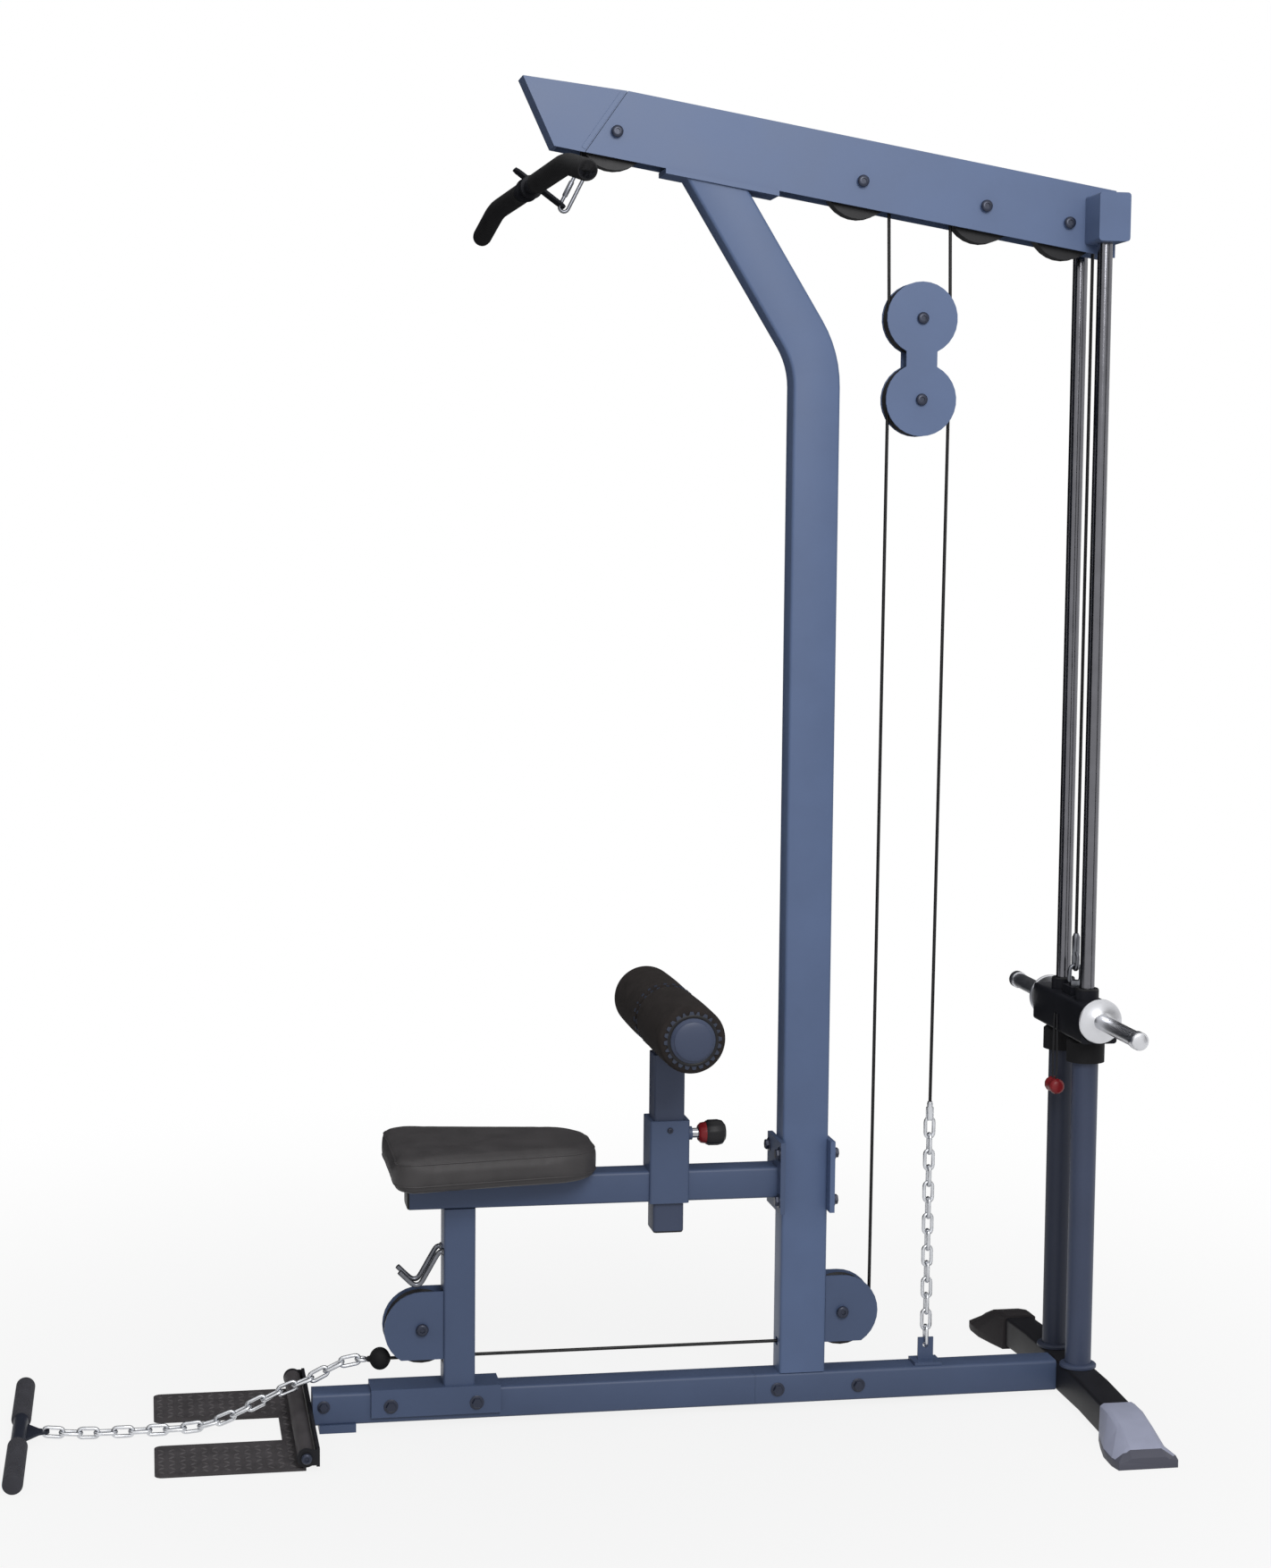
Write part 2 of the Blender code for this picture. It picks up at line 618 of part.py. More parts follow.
# Front post with its saddle and the hooks for spare bars
def front_post():
    half = TUBE / 2
    ends = (FRONT_POST_X - half, FRONT_POST_X + half)
    post = box("front_post", PAINT, ends, (-half, half), (RAIL_TOP + GAP, SEAT_RAIL_Z - GAP), 2)
    reach = (FRONT_POST_X - SADDLE_AHEAD, FRONT_POST_X + SADDLE_BEHIND)
    saddle = box("saddle", PAINT, reach, (-half - 0.006, half + 0.006), (0.022, RAIL_TOP + 0.005))
    rail = box("rail", PAINT, (-2, 2), (-half - GAP, half + GAP), (-1, RAIL_TOP + GAP))
    cut(saddle, rail)
    fuse(post, saddle)
    run = LOW_Z - RUN_R
    slot = box("slot", PAINT, (-2, 2), (-0.007, 0.007), (run - 0.007, run + 0.007))
    cut(post, slot, wheel_pocket(-2, LOW_FRONT_X + PULLEY_R + WHEEL_ROOM))
    face = ends[0] - GAP
    knots = ((0, 0.284), (-0.004, 0.284), (-0.010, 0.279), (-0.029, 0.246), (-0.036, 0.235), (-0.042, 0.232))
    knots += ((-0.049, 0.234), (-0.058, 0.242), (-0.070, 0.254))
    for y, name in ((-0.018, "bar_hook_near"), (0.018, "bar_hook_far")):
        path = [Vector((face + x, y, z)) for x, z in knots]
        wire(name, BLACK_PAINT, path, 0.0045)
    low_bracket("low_front_bracket", LOW_FRONT_X, ends[0], -1)
    low_bracket("low_rear_bracket", LOW_REAR_X, UPRIGHT_DEPTH / 2, 1)


# Seat rail with the hold-down sleeve, and the cushion
def seat():
    half = TUBE / 2
    rail_z = (SEAT_RAIL_Z, SEAT_RAIL_Z + TUBE)
    wall = -UPRIGHT_DEPTH / 2 - GAP
    rail = box("seat_frame", PAINT, (SEAT_RAIL_FRONT, wall - 0.004), (-half, half), rail_z, 0)
    square = (-SLEEVE_HALF, SLEEVE_HALF)
    sleeve = box("sleeve", PAINT, (HOLD_X - SLEEVE_HALF, HOLD_X + SLEEVE_HALF), square, SLEEVE_Z, 2)
    flange = box("flange", PAINT, (wall - 0.008, wall), (-FLANGE_HALF, FLANGE_HALF), FLANGE_Z)
    back = HOLD_X + SLEEVE_HALF
    barrel = rod("barrel", PAINT, (0, 0, PIN_Z), X_AXIS, 0.011, back - 0.003, back + 0.009, 20)
    fuse(rail, sleeve, flange, barrel)
    room = HOLD_HALF + 0.0007
    shaft = box("shaft", PAINT, (HOLD_X - room, HOLD_X + room), (-room, room), (0, 1))
    hole = rod("hole", PAINT, (0, 0, PIN_Z), X_AXIS, PIN_R + 0.0004, HOLD_X, back + 0.1, 16)
    cut(rail, shaft, hole)
    cushion(SEAT_RAIL_Z + TUBE + GAP)


def cushion(base_z):
    """A stuffed pad: drawn in below, full at the sides and crowned on top."""
    front, rear = SEAT_X
    corners = ((front, -SEAT_FRONT_HALF, 0.032), (rear, -SEAT_REAR_HALF, 0.062))
    corners += ((rear, SEAT_REAR_HALF, 0.062), (front, SEAT_FRONT_HALF, 0.032))
    outline = round_outline([Vector((x, y, 0)) for x, y, _ in corners], [r for _, _, r in corners], 7)
    middle = Vector(((front + rear) / 2, 0, 0))
    layers = ((0.93, 0.0), (0.975, 0.003), (1.0, 0.012), (1.0, 0.038), (0.988, 0.046))
    layers += ((0.955, 0.051), (0.86, 0.0545), (0.60, 0.0563), (0.30, SEAT_TALL))
    points = []
    for scale, z in layers:
        points += [middle + (p - middle) * scale + Z_AXIS * (base_z + z) for p in outline]
    count = len(outline)
    faces = [tuple(range(count)), tuple(range(len(points) - count, len(points)))]
    for i in range(len(layers) - 1):
        for j in range(count):
            k = (j + 1) % count
            faces.append((i * count + j, i * count + k, (i + 1) * count + k, (i + 1) * count + j))
    solid("seat_pad", points, faces, VINYL)


def round_outline(corners, radii, steps):
    points = []
    for i, corner in enumerate(corners):
        back = (corners[i - 1] - corner).normalized()
        ahead = (corners[(i + 1) % len(corners)] - corner).normalized()
        half_turn = back.angle(ahead) / 2
        reach = radii[i] / math.tan(half_turn)
        centre = corner + (back + ahead).normalized() * (radii[i] / math.sin(half_turn))
        first = corner + back * reach - centre
        last = corner + ahead * reach - centre
        for step in range(steps + 1):
            turned = first.normalized().slerp(last.normalized(), step / steps)
            points.append(centre + turned * radii[i])
    return points


# Hold-down post, roller axle, foam rollers and the pop pin
def hold_down():
    square = (-HOLD_HALF, HOLD_HALF)
    post = box("hold_down_post", PAINT, (HOLD_X - HOLD_HALF, HOLD_X + HOLD_HALF), square, HOLD_Z, 2)
    wide = (HOLD_X - NECK_HALF_X, HOLD_X + NECK_HALF_X)
    neck = box("neck", PAINT, wide, (-NECK_HALF_Y, NECK_HALF_Y), (HOLD_Z[1] - 0.02, ROLLER_Z + NECK_TOP))
    fuse(post, neck)
    cuts = [rod("bore", PAINT, (HOLD_X, 0, ROLLER_Z), Y_AXIS, AXLE_ROLLER_R + GAP, -0.1, 0.1, 20)]
    back = HOLD_X + HOLD_HALF
    for step in range(-3, 3):
        at = (back, 0, PIN_Z + step * PIN_STEP)
        cuts.append(rod("stop", PAINT, at, X_AXIS, PIN_R + 0.0006, -0.012, 0.05, 12))
    cut(post, *cuts)
    end = ROLLER_END + GAP
    profile = [(0, -end - 0.006), (CAP_R - 0.004, -end - 0.006), (CAP_R, -end - 0.002), (CAP_R, -end)]
    profile.append((AXLE_ROLLER_R, -end))
    profile += [(r, -t) for r, t in reversed(profile)]
    axle = lathe("roller_axle", PAINT, (HOLD_X, 0, ROLLER_Z), Y_AXIS, profile, 28)
    origin(axle, (HOLD_X, 0, ROLLER_Z))
    for side, name in ((-1, "foam_roller_near"), (1, "foam_roller_far")):
        start = NECK_HALF_Y + 0.0012
        bore = AXLE_ROLLER_R + 0.0004
        full = ROLLER_R
        profile = [(bore, start), (full - 0.006, start), (full, start + 0.006)]
        profile += [(full, ROLLER_END - 0.006), (full - 0.006, ROLLER_END), (bore, ROLLER_END)]
        turned = [(r, side * t) for r, t in profile]
        foam = lathe(name, RUBBER, (HOLD_X, 0, ROLLER_Z), Y_AXIS, turned, 28, True)
        origin(foam, (HOLD_X, 0, ROLLER_Z))
    out = HOLD_X + SLEEVE_HALF + 0.009 + GAP
    tip = back + 0.0007
    profile = [(0, tip), (PIN_R, tip), (PIN_R, out), (0.008, out), (0.008, out + 0.012)]
    profile += [(0.014, out + 0.014), (0.020, out + 0.026), (0.021, out + 0.040), (0.017, out + 0.052)]
    profile.append((0, out + 0.056))
    knob = lathe("pop_pin", PLASTIC, (0, 0, PIN_Z), X_AXIS, profile, 24)
    origin(knob, (out, 0, PIN_Z))


# Chains: rounded links whose wires bite into each other, fused into one body
def link(name, look, start, end, roll, flat):
    """A link whose inner ends lie on start and end, rolled about its length."""
    ahead = (end - start).normalized()
    across = flat * math.cos(roll) + ahead.cross(flat) * math.sin(roll)
    normal = ahead.cross(across)
    half = (end - start).length / 2 - LINK_HALF_WIDE + LINK_WIRE / 2 + LINK_BITE / 2
    middle = (start + end) / 2
    stations = []
    for sign in (1, -1):
        for step in range(4):
            turn = math.pi * (step / 3 - 0.5)
            out = ahead * math.cos(turn) * sign + across * math.sin(turn) * sign
            stations.append((middle + ahead * half * sign + out * LINK_HALF_WIDE, normal, out))
    return sweep(name, look, circle(LINK_WIRE, 5), stations, True)


def chain(name, look, joints, flat, first_roll):
    links = []
    for i in range(len(joints) - 1):
        roll = first_roll + (math.pi / 2 if i % 2 else 0)
        links.append(link(name if not i else f"{name}_{i}", look, joints[i], joints[i + 1], roll, flat))
    return links


def spaced(path, pitch):
    """Points a fixed distance apart along a path, starting at its first point."""
    found = [path[0]]
    i = 0
    while i < len(path) - 1:
        a, b = path[i], path[i + 1]
        if (b - found[-1]).length < pitch:
            i += 1
            continue
        low, high = 0.0, 1.0
        for _ in range(40):
            share = (low + high) / 2
            if (a.lerp(b, share) - found[-1]).length < pitch:
                low = share
            else:
                high = share
        found.append(a.lerp(b, high))
    return found


# Low row: handle, chain with snap, ball stop and the anchored end of the cable
def low_row():
    profile = [(0, -HANDLE_HALF), (GRIP_R - 0.003, -HANDLE_HALF), (GRIP_R, -HANDLE_HALF + 0.004)]
    profile += [(GRIP_R, -0.105), (GRIP_R - 0.003, -0.100)]
    profile += [(r, -t) for r, t in reversed(profile)]
    bar = lathe("row_handle", RUBBER, (HANDLE_X, 0, HANDLE_Z), Y_AXIS, profile, 24)
    hook_x = HANDLE_X + 0.037
    flat = [(0, 0.045), (0.030, 0.010), (0.046, 0.008), (0.046, -0.008), (0.030, -0.010), (0, -0.045)]
    stations = [(Vector((HANDLE_X, 0, HANDLE_Z + z)), X_AXIS, Y_AXIS) for z in (-TAB_HALF, TAB_HALF)]
    fuse(bar, sweep("tab", RUBBER, flat, stations))
    cut(bar, rod("eye", RUBBER, (hook_x, 0, HANDLE_Z), Z_AXIS, 0.0048, -0.02, 0.02, 16))
    run = LOW_Z - RUN_R
    wide = LINK_INNER + LINK_BITE
    start = Vector((hook_x + 0.0018, 0, HANDLE_Z))
    knots = ((-1.150, 0.0105), (-1.050, 0.0100), (-0.985, 0.0115), (-0.940, 0.021), (-0.890, 0.043))
    knots += ((-0.840, 0.066), (-0.800, 0.081), (-0.760, 0.101), (-0.735, run), (-0.700, run))
    path = smooth([start] + [Vector((x, 0, z)) for x, z in knots], 6)
    joints = spaced(path, wide)
    joints = [p for p in joints if p.x < -0.722]
    links = chain("row_chain", ZINC, joints, Y_AXIS, math.pi / 2)
    tail = joints[-1]
    nose = Vector((BALL_X - BALL_R - 0.006, 0, run))
    links.append(link("snap", ZINC, tail, nose, math.pi / 2 * (len(joints) % 2), Y_AXIS))
    fuse(*links)
    profile = [(0, -0.0200), (0.0040, -0.0200), (0.0040, -0.0165), (0.0125, -0.0125), (BALL_R, 0)]
    profile += [(0.0125, 0.0125), (0.0040, 0.0170), (CABLE_R, 0.0170), (CABLE_R, 0.047), (0, 0.047)]
    lathe("ball_stop", RUBBER, (BALL_X, 0, run), X_AXIS, profile, 24)
    anchor()


def smooth(points, steps):
    """A Catmull-Rom curve through points."""
    found = []
    for i in range(len(points) - 1):
        p0 = points[max(i - 1, 0)]
        p1, p2 = points[i], points[i + 1]
        p3 = points[min(i + 2, len(points) - 1)]
        for step in range(steps):
            t = step / steps
            mixed = p1 * 2 + (p2 - p0) * t + (p0 * 2 - p1 * 5 + p2 * 4 - p3) * t * t
            found.append((mixed + (p1 * 3 - p0 - p2 * 3 + p3) * t * t * t) / 2)
    return found + [points[-1]]


def anchor():
    low = RAIL_TOP + GAP
    wide = (ANCHOR_X - 0.023, ANCHOR_X + 0.023)
    base_plate = box("anchor_bracket", PAINT, wide, (-0.020, 0.020), (low, low + 0.005))
    narrow = (ANCHOR_X - 0.013, ANCHOR_X + 0.013)
    tab = box("tab", PAINT, narrow, (-TAB_HALF, TAB_HALF), (low + 0.002, low + 0.042))
    fuse(base_plate, tab)
    eye_z = low + 0.030
    cut(base_plate, rod("eye", PAINT, (ANCHOR_X, 0, eye_z), Y_AXIS, 0.0048, -0.02, 0.02, 16))
    start = eye_z + 0.0018
    count = round((ANCHOR_TOP - start) / (LINK_INNER + LINK_BITE))
    pitch = (ANCHOR_TOP - start) / count
    joints = [Vector((ANCHOR_X, 0, start + i * pitch)) for i in range(count + 1)]
    links = chain("anchor_chain", ZINC, joints, Y_AXIS, 0)
    top = rod("fitting", ZINC, (ANCHOR_X, 0, 0), Z_AXIS, 0.0065, ANCHOR_TOP - 0.001, ANCHOR_TOP + 0.030, 16)
    fuse(*links, top)


# Footplate on its hinge bar at the front of the base
def footplate():
    back = RAIL_FRONT_X - GAP
    bar = box("hinge_bar", PAINT, (back - 0.005, back), (-HINGE_HALF_Y, HINGE_HALF_Y), (0.008, 0.036))
    reach = HINGE_HALF_Y + 0.004
    pieces = [rod("hinge_pin", PAINT, (HINGE_X, 0, HINGE_Z), Y_AXIS, 0.005, -reach, reach, 16)]
    for side in (-1, 1):
        inner, outer = side * (HINGE_HALF_Y - 0.005), side * HINGE_HALF_Y
        ends = sorted((inner, outer))
        pieces.append(box("ear", PAINT, (HINGE_X, back - 0.003), ends, (HINGE_Z - 0.012, HINGE_Z + 0.012)))
        pieces.append(rod("disc", PAINT, (HINGE_X, 0, HINGE_Z), Y_AXIS, HINGE_R + 0.001, *ends, 24))
    fuse(bar, *pieces)
    tongue = []
    for middle_y, start in ((PLATE_HALF_Y - PLATE_ROUND, 90), (SLOT_HALF_Y + PLATE_ROUND, 180)):
        for turn in (math.radians(start + 18 * i) for i in range(6)):
            x = PLATE_X[0] + PLATE_ROUND + PLATE_ROUND * math.cos(turn)
            tongue.append((x, middle_y + PLATE_ROUND * math.sin(turn)))
    outline = tongue + [(SLOT_END_X, SLOT_HALF_Y), (SLOT_END_X, -SLOT_HALF_Y)]
    outline += [(x, -y) for x, y in reversed(tongue)]
    outline += [(PLATE_X[1], -PLATE_HALF_Y), (PLATE_X[1], PLATE_HALF_Y)]
    stations = [(Z_AXIS * z, X_AXIS, Y_AXIS) for z in (0.0, PLATE_THICK)]
    plate = sweep("footplate", TREAD, outline, stations)
    half = (-PLATE_HALF_Y, PLATE_HALF_Y)
    web = box("web", TREAD, (PLATE_X[1] - 0.004, PLATE_X[1]), half, (0.001, HINGE_Z + 0.002))
    barrel = rod("barrel", TREAD, (HINGE_X, 0, HINGE_Z), Y_AXIS, HINGE_R, -PLATE_HALF_Y, PLATE_HALF_Y, 24)
    fuse(plate, web, barrel)
    cut(plate, rod("bore", TREAD, (HINGE_X, 0, HINGE_Z), Y_AXIS, 0.0054, -1, 1, 16))
    origin(plate, (HINGE_X, 0, HINGE_Z))


# Lat bar with its hanger strip, and the snap on the cable end
def lat():
    half = [Vector((LAT_X, 0, LAT_Z)), Vector((LAT_X, LAT_STRAIGHT * 0.5, LAT_Z))]
    for step in range(6):
        turn = LAT_BEND * step / 5
        y = LAT_STRAIGHT + LAT_BEND_R * math.sin(turn)
        half.append(Vector((LAT_X, y, LAT_Z - LAT_BEND_R * (1 - math.cos(turn)))))
    tail = Vector((0, math.cos(LAT_BEND), -math.sin(LAT_BEND)))
    half.append(half[-1] + tail * LAT_TAIL)
    flip = [Vector((p.x, -p.y, p.z)) for p in half[:0:-1]]
    path = flip + half
    bar = wire("lat_bar", RUBBER, path, LAT_GRIP_R, X_AXIS, 16)
    ahead = Vector((0.815, 0, -0.580)).normalized()
    across = Vector((-ahead.z, 0, ahead.x))
    middle = Vector((LAT_X, 0, LAT_Z)) + across * 0.010
    stations = [(middle + ahead * d, Y_AXIS, across) for d in (-0.036, 0.0615)]
    fuse(bar, sweep("hanger", RUBBER, rounded(0.017, TAB_HALF, 0), stations))
    eye = middle + ahead * 0.054
    cut(bar, lathe("eye", RUBBER, eye, across, [(0, -0.02), (0.0055, -0.02), (0.0055, 0.02), (0, 0.02)], 16))
    centre = Matrix.Translation((LAT_X, 0, 0))
    yawed = centre @ Matrix.Rotation(LAT_YAW, 4, "Z") @ centre.inverted()
    bar.data.transform(yawed)
    drop_x = BOOM_BOLT_X[0] - RUN_R
    top = Vector((drop_x, 0, boom_bolt_z(BOOM_BOLT_X[0]) - SNAP_DROP))
    foot_at = eye + ahead * LINK_HALF_WIDE - across * (TAB_HALF + LINK_WIRE / 2 + GAP)
    link("lat_snap", CHROME, yawed @ foot_at, top, math.pi / 2, Y_AXIS)
    low = top.z + LINK_WIRE * 1.8 + LINK_BITE
    high = low + 0.013
    rod("lat_ferrule", CHROME, (drop_x, 0, 0), Z_AXIS, 0.006, low, high, 16)
    return high + GAP


# Cables: each run is a wire round the grooves it passes
def cables(lat_low):
    bolts = [(x, boom_bolt_z(x)) for x in BOOM_BOLT_X]
    over = 90 - math.degrees(BOOM_TILT)
    front = arc(*bolts[0], RUN_R, 180, over) + arc(*bolts[1], RUN_R, over, 0)
    wire("boom_cable_front", PLASTIC, front, CABLE_R)
    rear = arc(*bolts[2], RUN_R, 180, over) + arc(*bolts[3], RUN_R, over, 0)
    wire("boom_cable_rear", PLASTIC, rear, CABLE_R)
    drop = Vector((bolts[0][0] - RUN_R, 0, 0))
    wire("lat_cable", PLASTIC, [drop + Z_AXIS * (bolts[0][1] - GAP), drop + Z_AXIS * lat_low], CABLE_R)
    lift = Vector((bolts[3][0] + RUN_R, 0, bolts[3][1] - GAP))
    wire("carriage_cable", PLASTIC, [lift, Vector((CROSS_X, 0, EYE_TOP + GAP))], CABLE_R)
    high = [Vector((bolts[1][0] + RUN_R, 0, bolts[1][1] - GAP))]
    high += arc(FLOAT_X, FLOAT_TOP_Z, RUN_R, 180, 360)
    high.append(Vector((bolts[2][0] - RUN_R, 0, bolts[2][1] - GAP)))
    wire("float_cable_high", PLASTIC, high, CABLE_R)
    low = [Vector((LOW_REAR_X + RUN_R, 0, LOW_Z + GAP))]
    low += arc(FLOAT_X, FLOAT_LOW_Z, RUN_R, 180, 0)
    low.append(Vector((ANCHOR_X, 0, ANCHOR_TOP + 0.030 + GAP)))
    wire("float_cable_low", PLASTIC, low, CABLE_R)
    run = [Vector((LOW_FRONT_X - 0.018, 0, LOW_Z - RUN_R)), Vector((LOW_FRONT_X, 0, LOW_Z - RUN_R))]
    run += arc(LOW_REAR_X, LOW_Z, RUN_R, 270, 360)
    wire("low_run_cable", PLASTIC, run, CABLE_R)


base()
upright()
boom()
pulleys()
float_block()
guides()
carriage()
front_post()
seat()
hold_down()
low_row()
footplate()
cables(lat())

# The origin is the middle of the floor area
for made in bpy.context.scene.collection.objects:
    made.location.x -= (FRONT_END + REAR_END) / 2
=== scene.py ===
"""Looks of the lat pulldown machine: finishes, soft parts, cables, chains and fasteners."""

import json
import math

import bmesh
import bpy
from mathutils import Matrix, Vector

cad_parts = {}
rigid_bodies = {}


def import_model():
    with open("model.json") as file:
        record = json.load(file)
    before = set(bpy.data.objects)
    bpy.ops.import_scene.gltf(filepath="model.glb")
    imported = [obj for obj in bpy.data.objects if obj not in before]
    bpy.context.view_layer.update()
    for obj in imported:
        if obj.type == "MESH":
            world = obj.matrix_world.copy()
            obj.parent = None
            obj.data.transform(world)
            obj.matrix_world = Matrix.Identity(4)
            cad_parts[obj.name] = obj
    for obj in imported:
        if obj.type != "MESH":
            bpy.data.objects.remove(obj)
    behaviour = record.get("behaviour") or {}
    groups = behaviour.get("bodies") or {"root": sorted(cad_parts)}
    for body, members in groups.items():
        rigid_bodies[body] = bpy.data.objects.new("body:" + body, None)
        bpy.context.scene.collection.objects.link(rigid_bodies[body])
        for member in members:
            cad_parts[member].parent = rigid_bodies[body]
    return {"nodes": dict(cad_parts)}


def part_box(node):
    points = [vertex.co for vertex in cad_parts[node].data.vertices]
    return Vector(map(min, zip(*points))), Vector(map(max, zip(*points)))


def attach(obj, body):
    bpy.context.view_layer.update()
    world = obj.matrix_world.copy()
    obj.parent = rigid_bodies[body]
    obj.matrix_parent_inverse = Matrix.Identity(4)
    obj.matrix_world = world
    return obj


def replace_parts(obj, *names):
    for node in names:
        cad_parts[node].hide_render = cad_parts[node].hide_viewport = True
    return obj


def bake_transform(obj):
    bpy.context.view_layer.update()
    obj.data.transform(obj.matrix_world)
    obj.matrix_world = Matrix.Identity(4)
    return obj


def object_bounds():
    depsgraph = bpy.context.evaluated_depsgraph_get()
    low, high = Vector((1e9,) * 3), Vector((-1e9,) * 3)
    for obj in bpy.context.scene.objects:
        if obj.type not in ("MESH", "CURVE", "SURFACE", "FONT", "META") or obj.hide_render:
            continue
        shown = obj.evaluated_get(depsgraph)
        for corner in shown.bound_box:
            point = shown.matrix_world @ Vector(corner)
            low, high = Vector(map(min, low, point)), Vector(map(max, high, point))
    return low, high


for old in list(bpy.data.objects):
    bpy.data.objects.remove(old, do_unlink=True)

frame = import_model()
cad_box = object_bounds()

# Layout datum: X is counted from the middle of the upright, as in the part's source
rod_low, rod_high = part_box("guide_rod_near")
ROD_X = 0.460
SHIFT = (rod_low.x + rod_high.x) / 2 - ROD_X
ROD_Y = abs(rod_low.y + rod_high.y) / 2
ROD_R = (rod_high.x - rod_low.x) / 2

X_AXIS = Vector((1, 0, 0))
Y_AXIS = Vector((0, 1, 0))
Z_AXIS = Vector((0, 0, 1))

# Camera fitted to the photograph: pixels for the focal length and image size, metres and radians for the rest
IMAGE_TALL = 1754
FOCAL_PIXELS = 3040.84
CAMERA_AT = (-1.0536, -4.2426, 1.4221)
CAMERA_YAW = -0.18
CAMERA_PITCH = -0.0912
CAMERA_ROLL = 0.0093
SENSOR_WIDE = 36
VIEW_REACH = 60

# Studio light
WORLD_LIGHT = 0.55
KEY_WATTS = 84
KEY_AT = (0.4, -3.4, 3.0)
KEY_AIM = (0.1, 0, 1.5)
KEY_WIDE = 1.8
FLOOR_HALF = 9.0
FLOOR_DROP = 0.0008
FLOOR_BOUNCE = 0.45
FLOOR_GLOW = 0.86
GLOW_FROM = 0.3
GLOW_FULL = 2.6
CARDS = (("card_left", (-3.6, -0.6), 1.6), ("card_right", (3.2, -2.6), 0.4), ("card_back", (-0.1, 1.5), 2.8))
CARD_Z = (0.01, 3.2)
CARD_COLOUR = (40, 42, 48)

# Sizes shared with the part's source
CABLE_R = 0.00275
RUN_R = 0.0505
BOOM_TILT = math.radians(9.1)
BOOM_TOP_Z = 2.0567
BOOM_TALL = 0.1044
BOOM_BOLT_DEEP = 0.0645
SEAM_TOP_X = -0.3077
SEAM_LOW_X = -0.3742


def boom_top(x):
    """Height of the boom's upper edge at a layout X."""
    return BOOM_TOP_Z - x * math.tan(BOOM_TILT)


BOOM_BOLT_X = (-0.3254, 0.0679, 0.2707, 0.4094)
BOOM_BOLT_Z = [boom_top(x) - BOOM_BOLT_DEEP / math.cos(BOOM_TILT) for x in BOOM_BOLT_X]
FLOAT_X = 0.173
FLOAT_TOP_Z = sum(p.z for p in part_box("float_wheel_upper")) / 2
FLOAT_LOW_Z = sum(p.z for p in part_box("float_wheel_lower")) / 2
LOW_Z = 0.160
RUN_Z = LOW_Z - RUN_R
LOW_FRONT_X = -0.6227
LOW_REAR_X = 0.0665
ANCHOR_X = 0.2153
ANCHOR_TOP = 0.4703
FITTING_TALL = 0.030
EYE_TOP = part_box("carriage_eye")[1].z
BALL_X = -0.688
BALL_R = 0.018
HOLD_X = -0.2255
HINGE_X = -0.8165
HINGE_Z = 0.022
RAIL_HALF = 0.0254
ENDS = ((-1, "near"), (1, "far"))
PIN_Z = sum(p.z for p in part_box("pop_pin")) / 2
ROLLER_Z = sum(p.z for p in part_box("foam_roller_near")) / 2
LINK_WIRE = 0.003
LINK_HALF_WIDE = 0.0070
LINK_PITCH = 0.0268


def at(x, y, z):
    """A point of the layout in the row frame."""
    return Vector((x + SHIFT, y, z))


# Materials
def linear(value):
    share = value / 255
    return share / 12.92 if share <= 0.04045 else ((share + 0.055) / 1.055) ** 2.4


def shade(colour, factor=1.0):
    return (*[min(1.0, linear(c) * factor) for c in colour], 1)


def put(tree, sockets, values):
    """Links the values that are sockets, and sets the others."""
    for key, value in values.items():
        if isinstance(value, bpy.types.NodeSocket):
            tree.links.new(value, sockets[key])
        else:
            sockets[key].default_value = value


def add_node(tree, kind, inputs=None, **settings):
    """A shader node with its settings made and its inputs filled."""
    made = tree.nodes.new(f"ShaderNode{kind}")
    for key, value in settings.items():
        setattr(made, key, value)
    put(tree, made.inputs, inputs or {})
    return made


def maths(tree, operation, *values):
    return add_node(tree, "Math", dict(enumerate(values)), operation=operation).outputs["Value"]


def surface(
    name, colour, rough, metallic=0.0, vary=0.10, patch=9.0, grain=900.0, depth=0.00012,
    cells=False, shine=0.35
):
    """A Principled material whose colour, roughness and bump come from noise in object space."""
    made = bpy.data.materials.new(name)
    made.use_nodes = True
    tree = made.node_tree
    place = add_node(tree, "TexCoord").outputs["Object"]
    broad = add_node(tree, "TexNoise", {"Vector": place, "Scale": patch, "Detail": 6}).outputs["Fac"]
    ramp = add_node(tree, "ValToRGB", {"Fac": broad})
    for stop, position, factor in zip(ramp.color_ramp.elements, (0.3, 0.7), (1 - vary, 1 + vary)):
        stop.position = position
        stop.color = shade(colour, factor)
    fine = {"Vector": place, "Scale": grain}
    if cells:
        height = add_node(tree, "TexVoronoi", fine).outputs["Distance"]
    else:
        height = add_node(tree, "TexNoise", {**fine, "Detail": 3}).outputs["Fac"]
    limits = {"To Min": rough * 0.85, "To Max": min(1.0, rough * 1.2)}
    gloss = add_node(tree, "MapRange", {"Value": broad, **limits})
    bump = add_node(tree, "Bump", {"Strength": 0.6, "Distance": depth, "Height": height})
    put(tree, tree.nodes["Principled BSDF"].inputs, {
        "Base Color": ramp.outputs["Color"], "Roughness": gloss.outputs["Result"], "Metallic": metallic,
        "Specular IOR Level": 0.5 if metallic else shine, "Normal": bump.outputs["Normal"]
    })
    return made


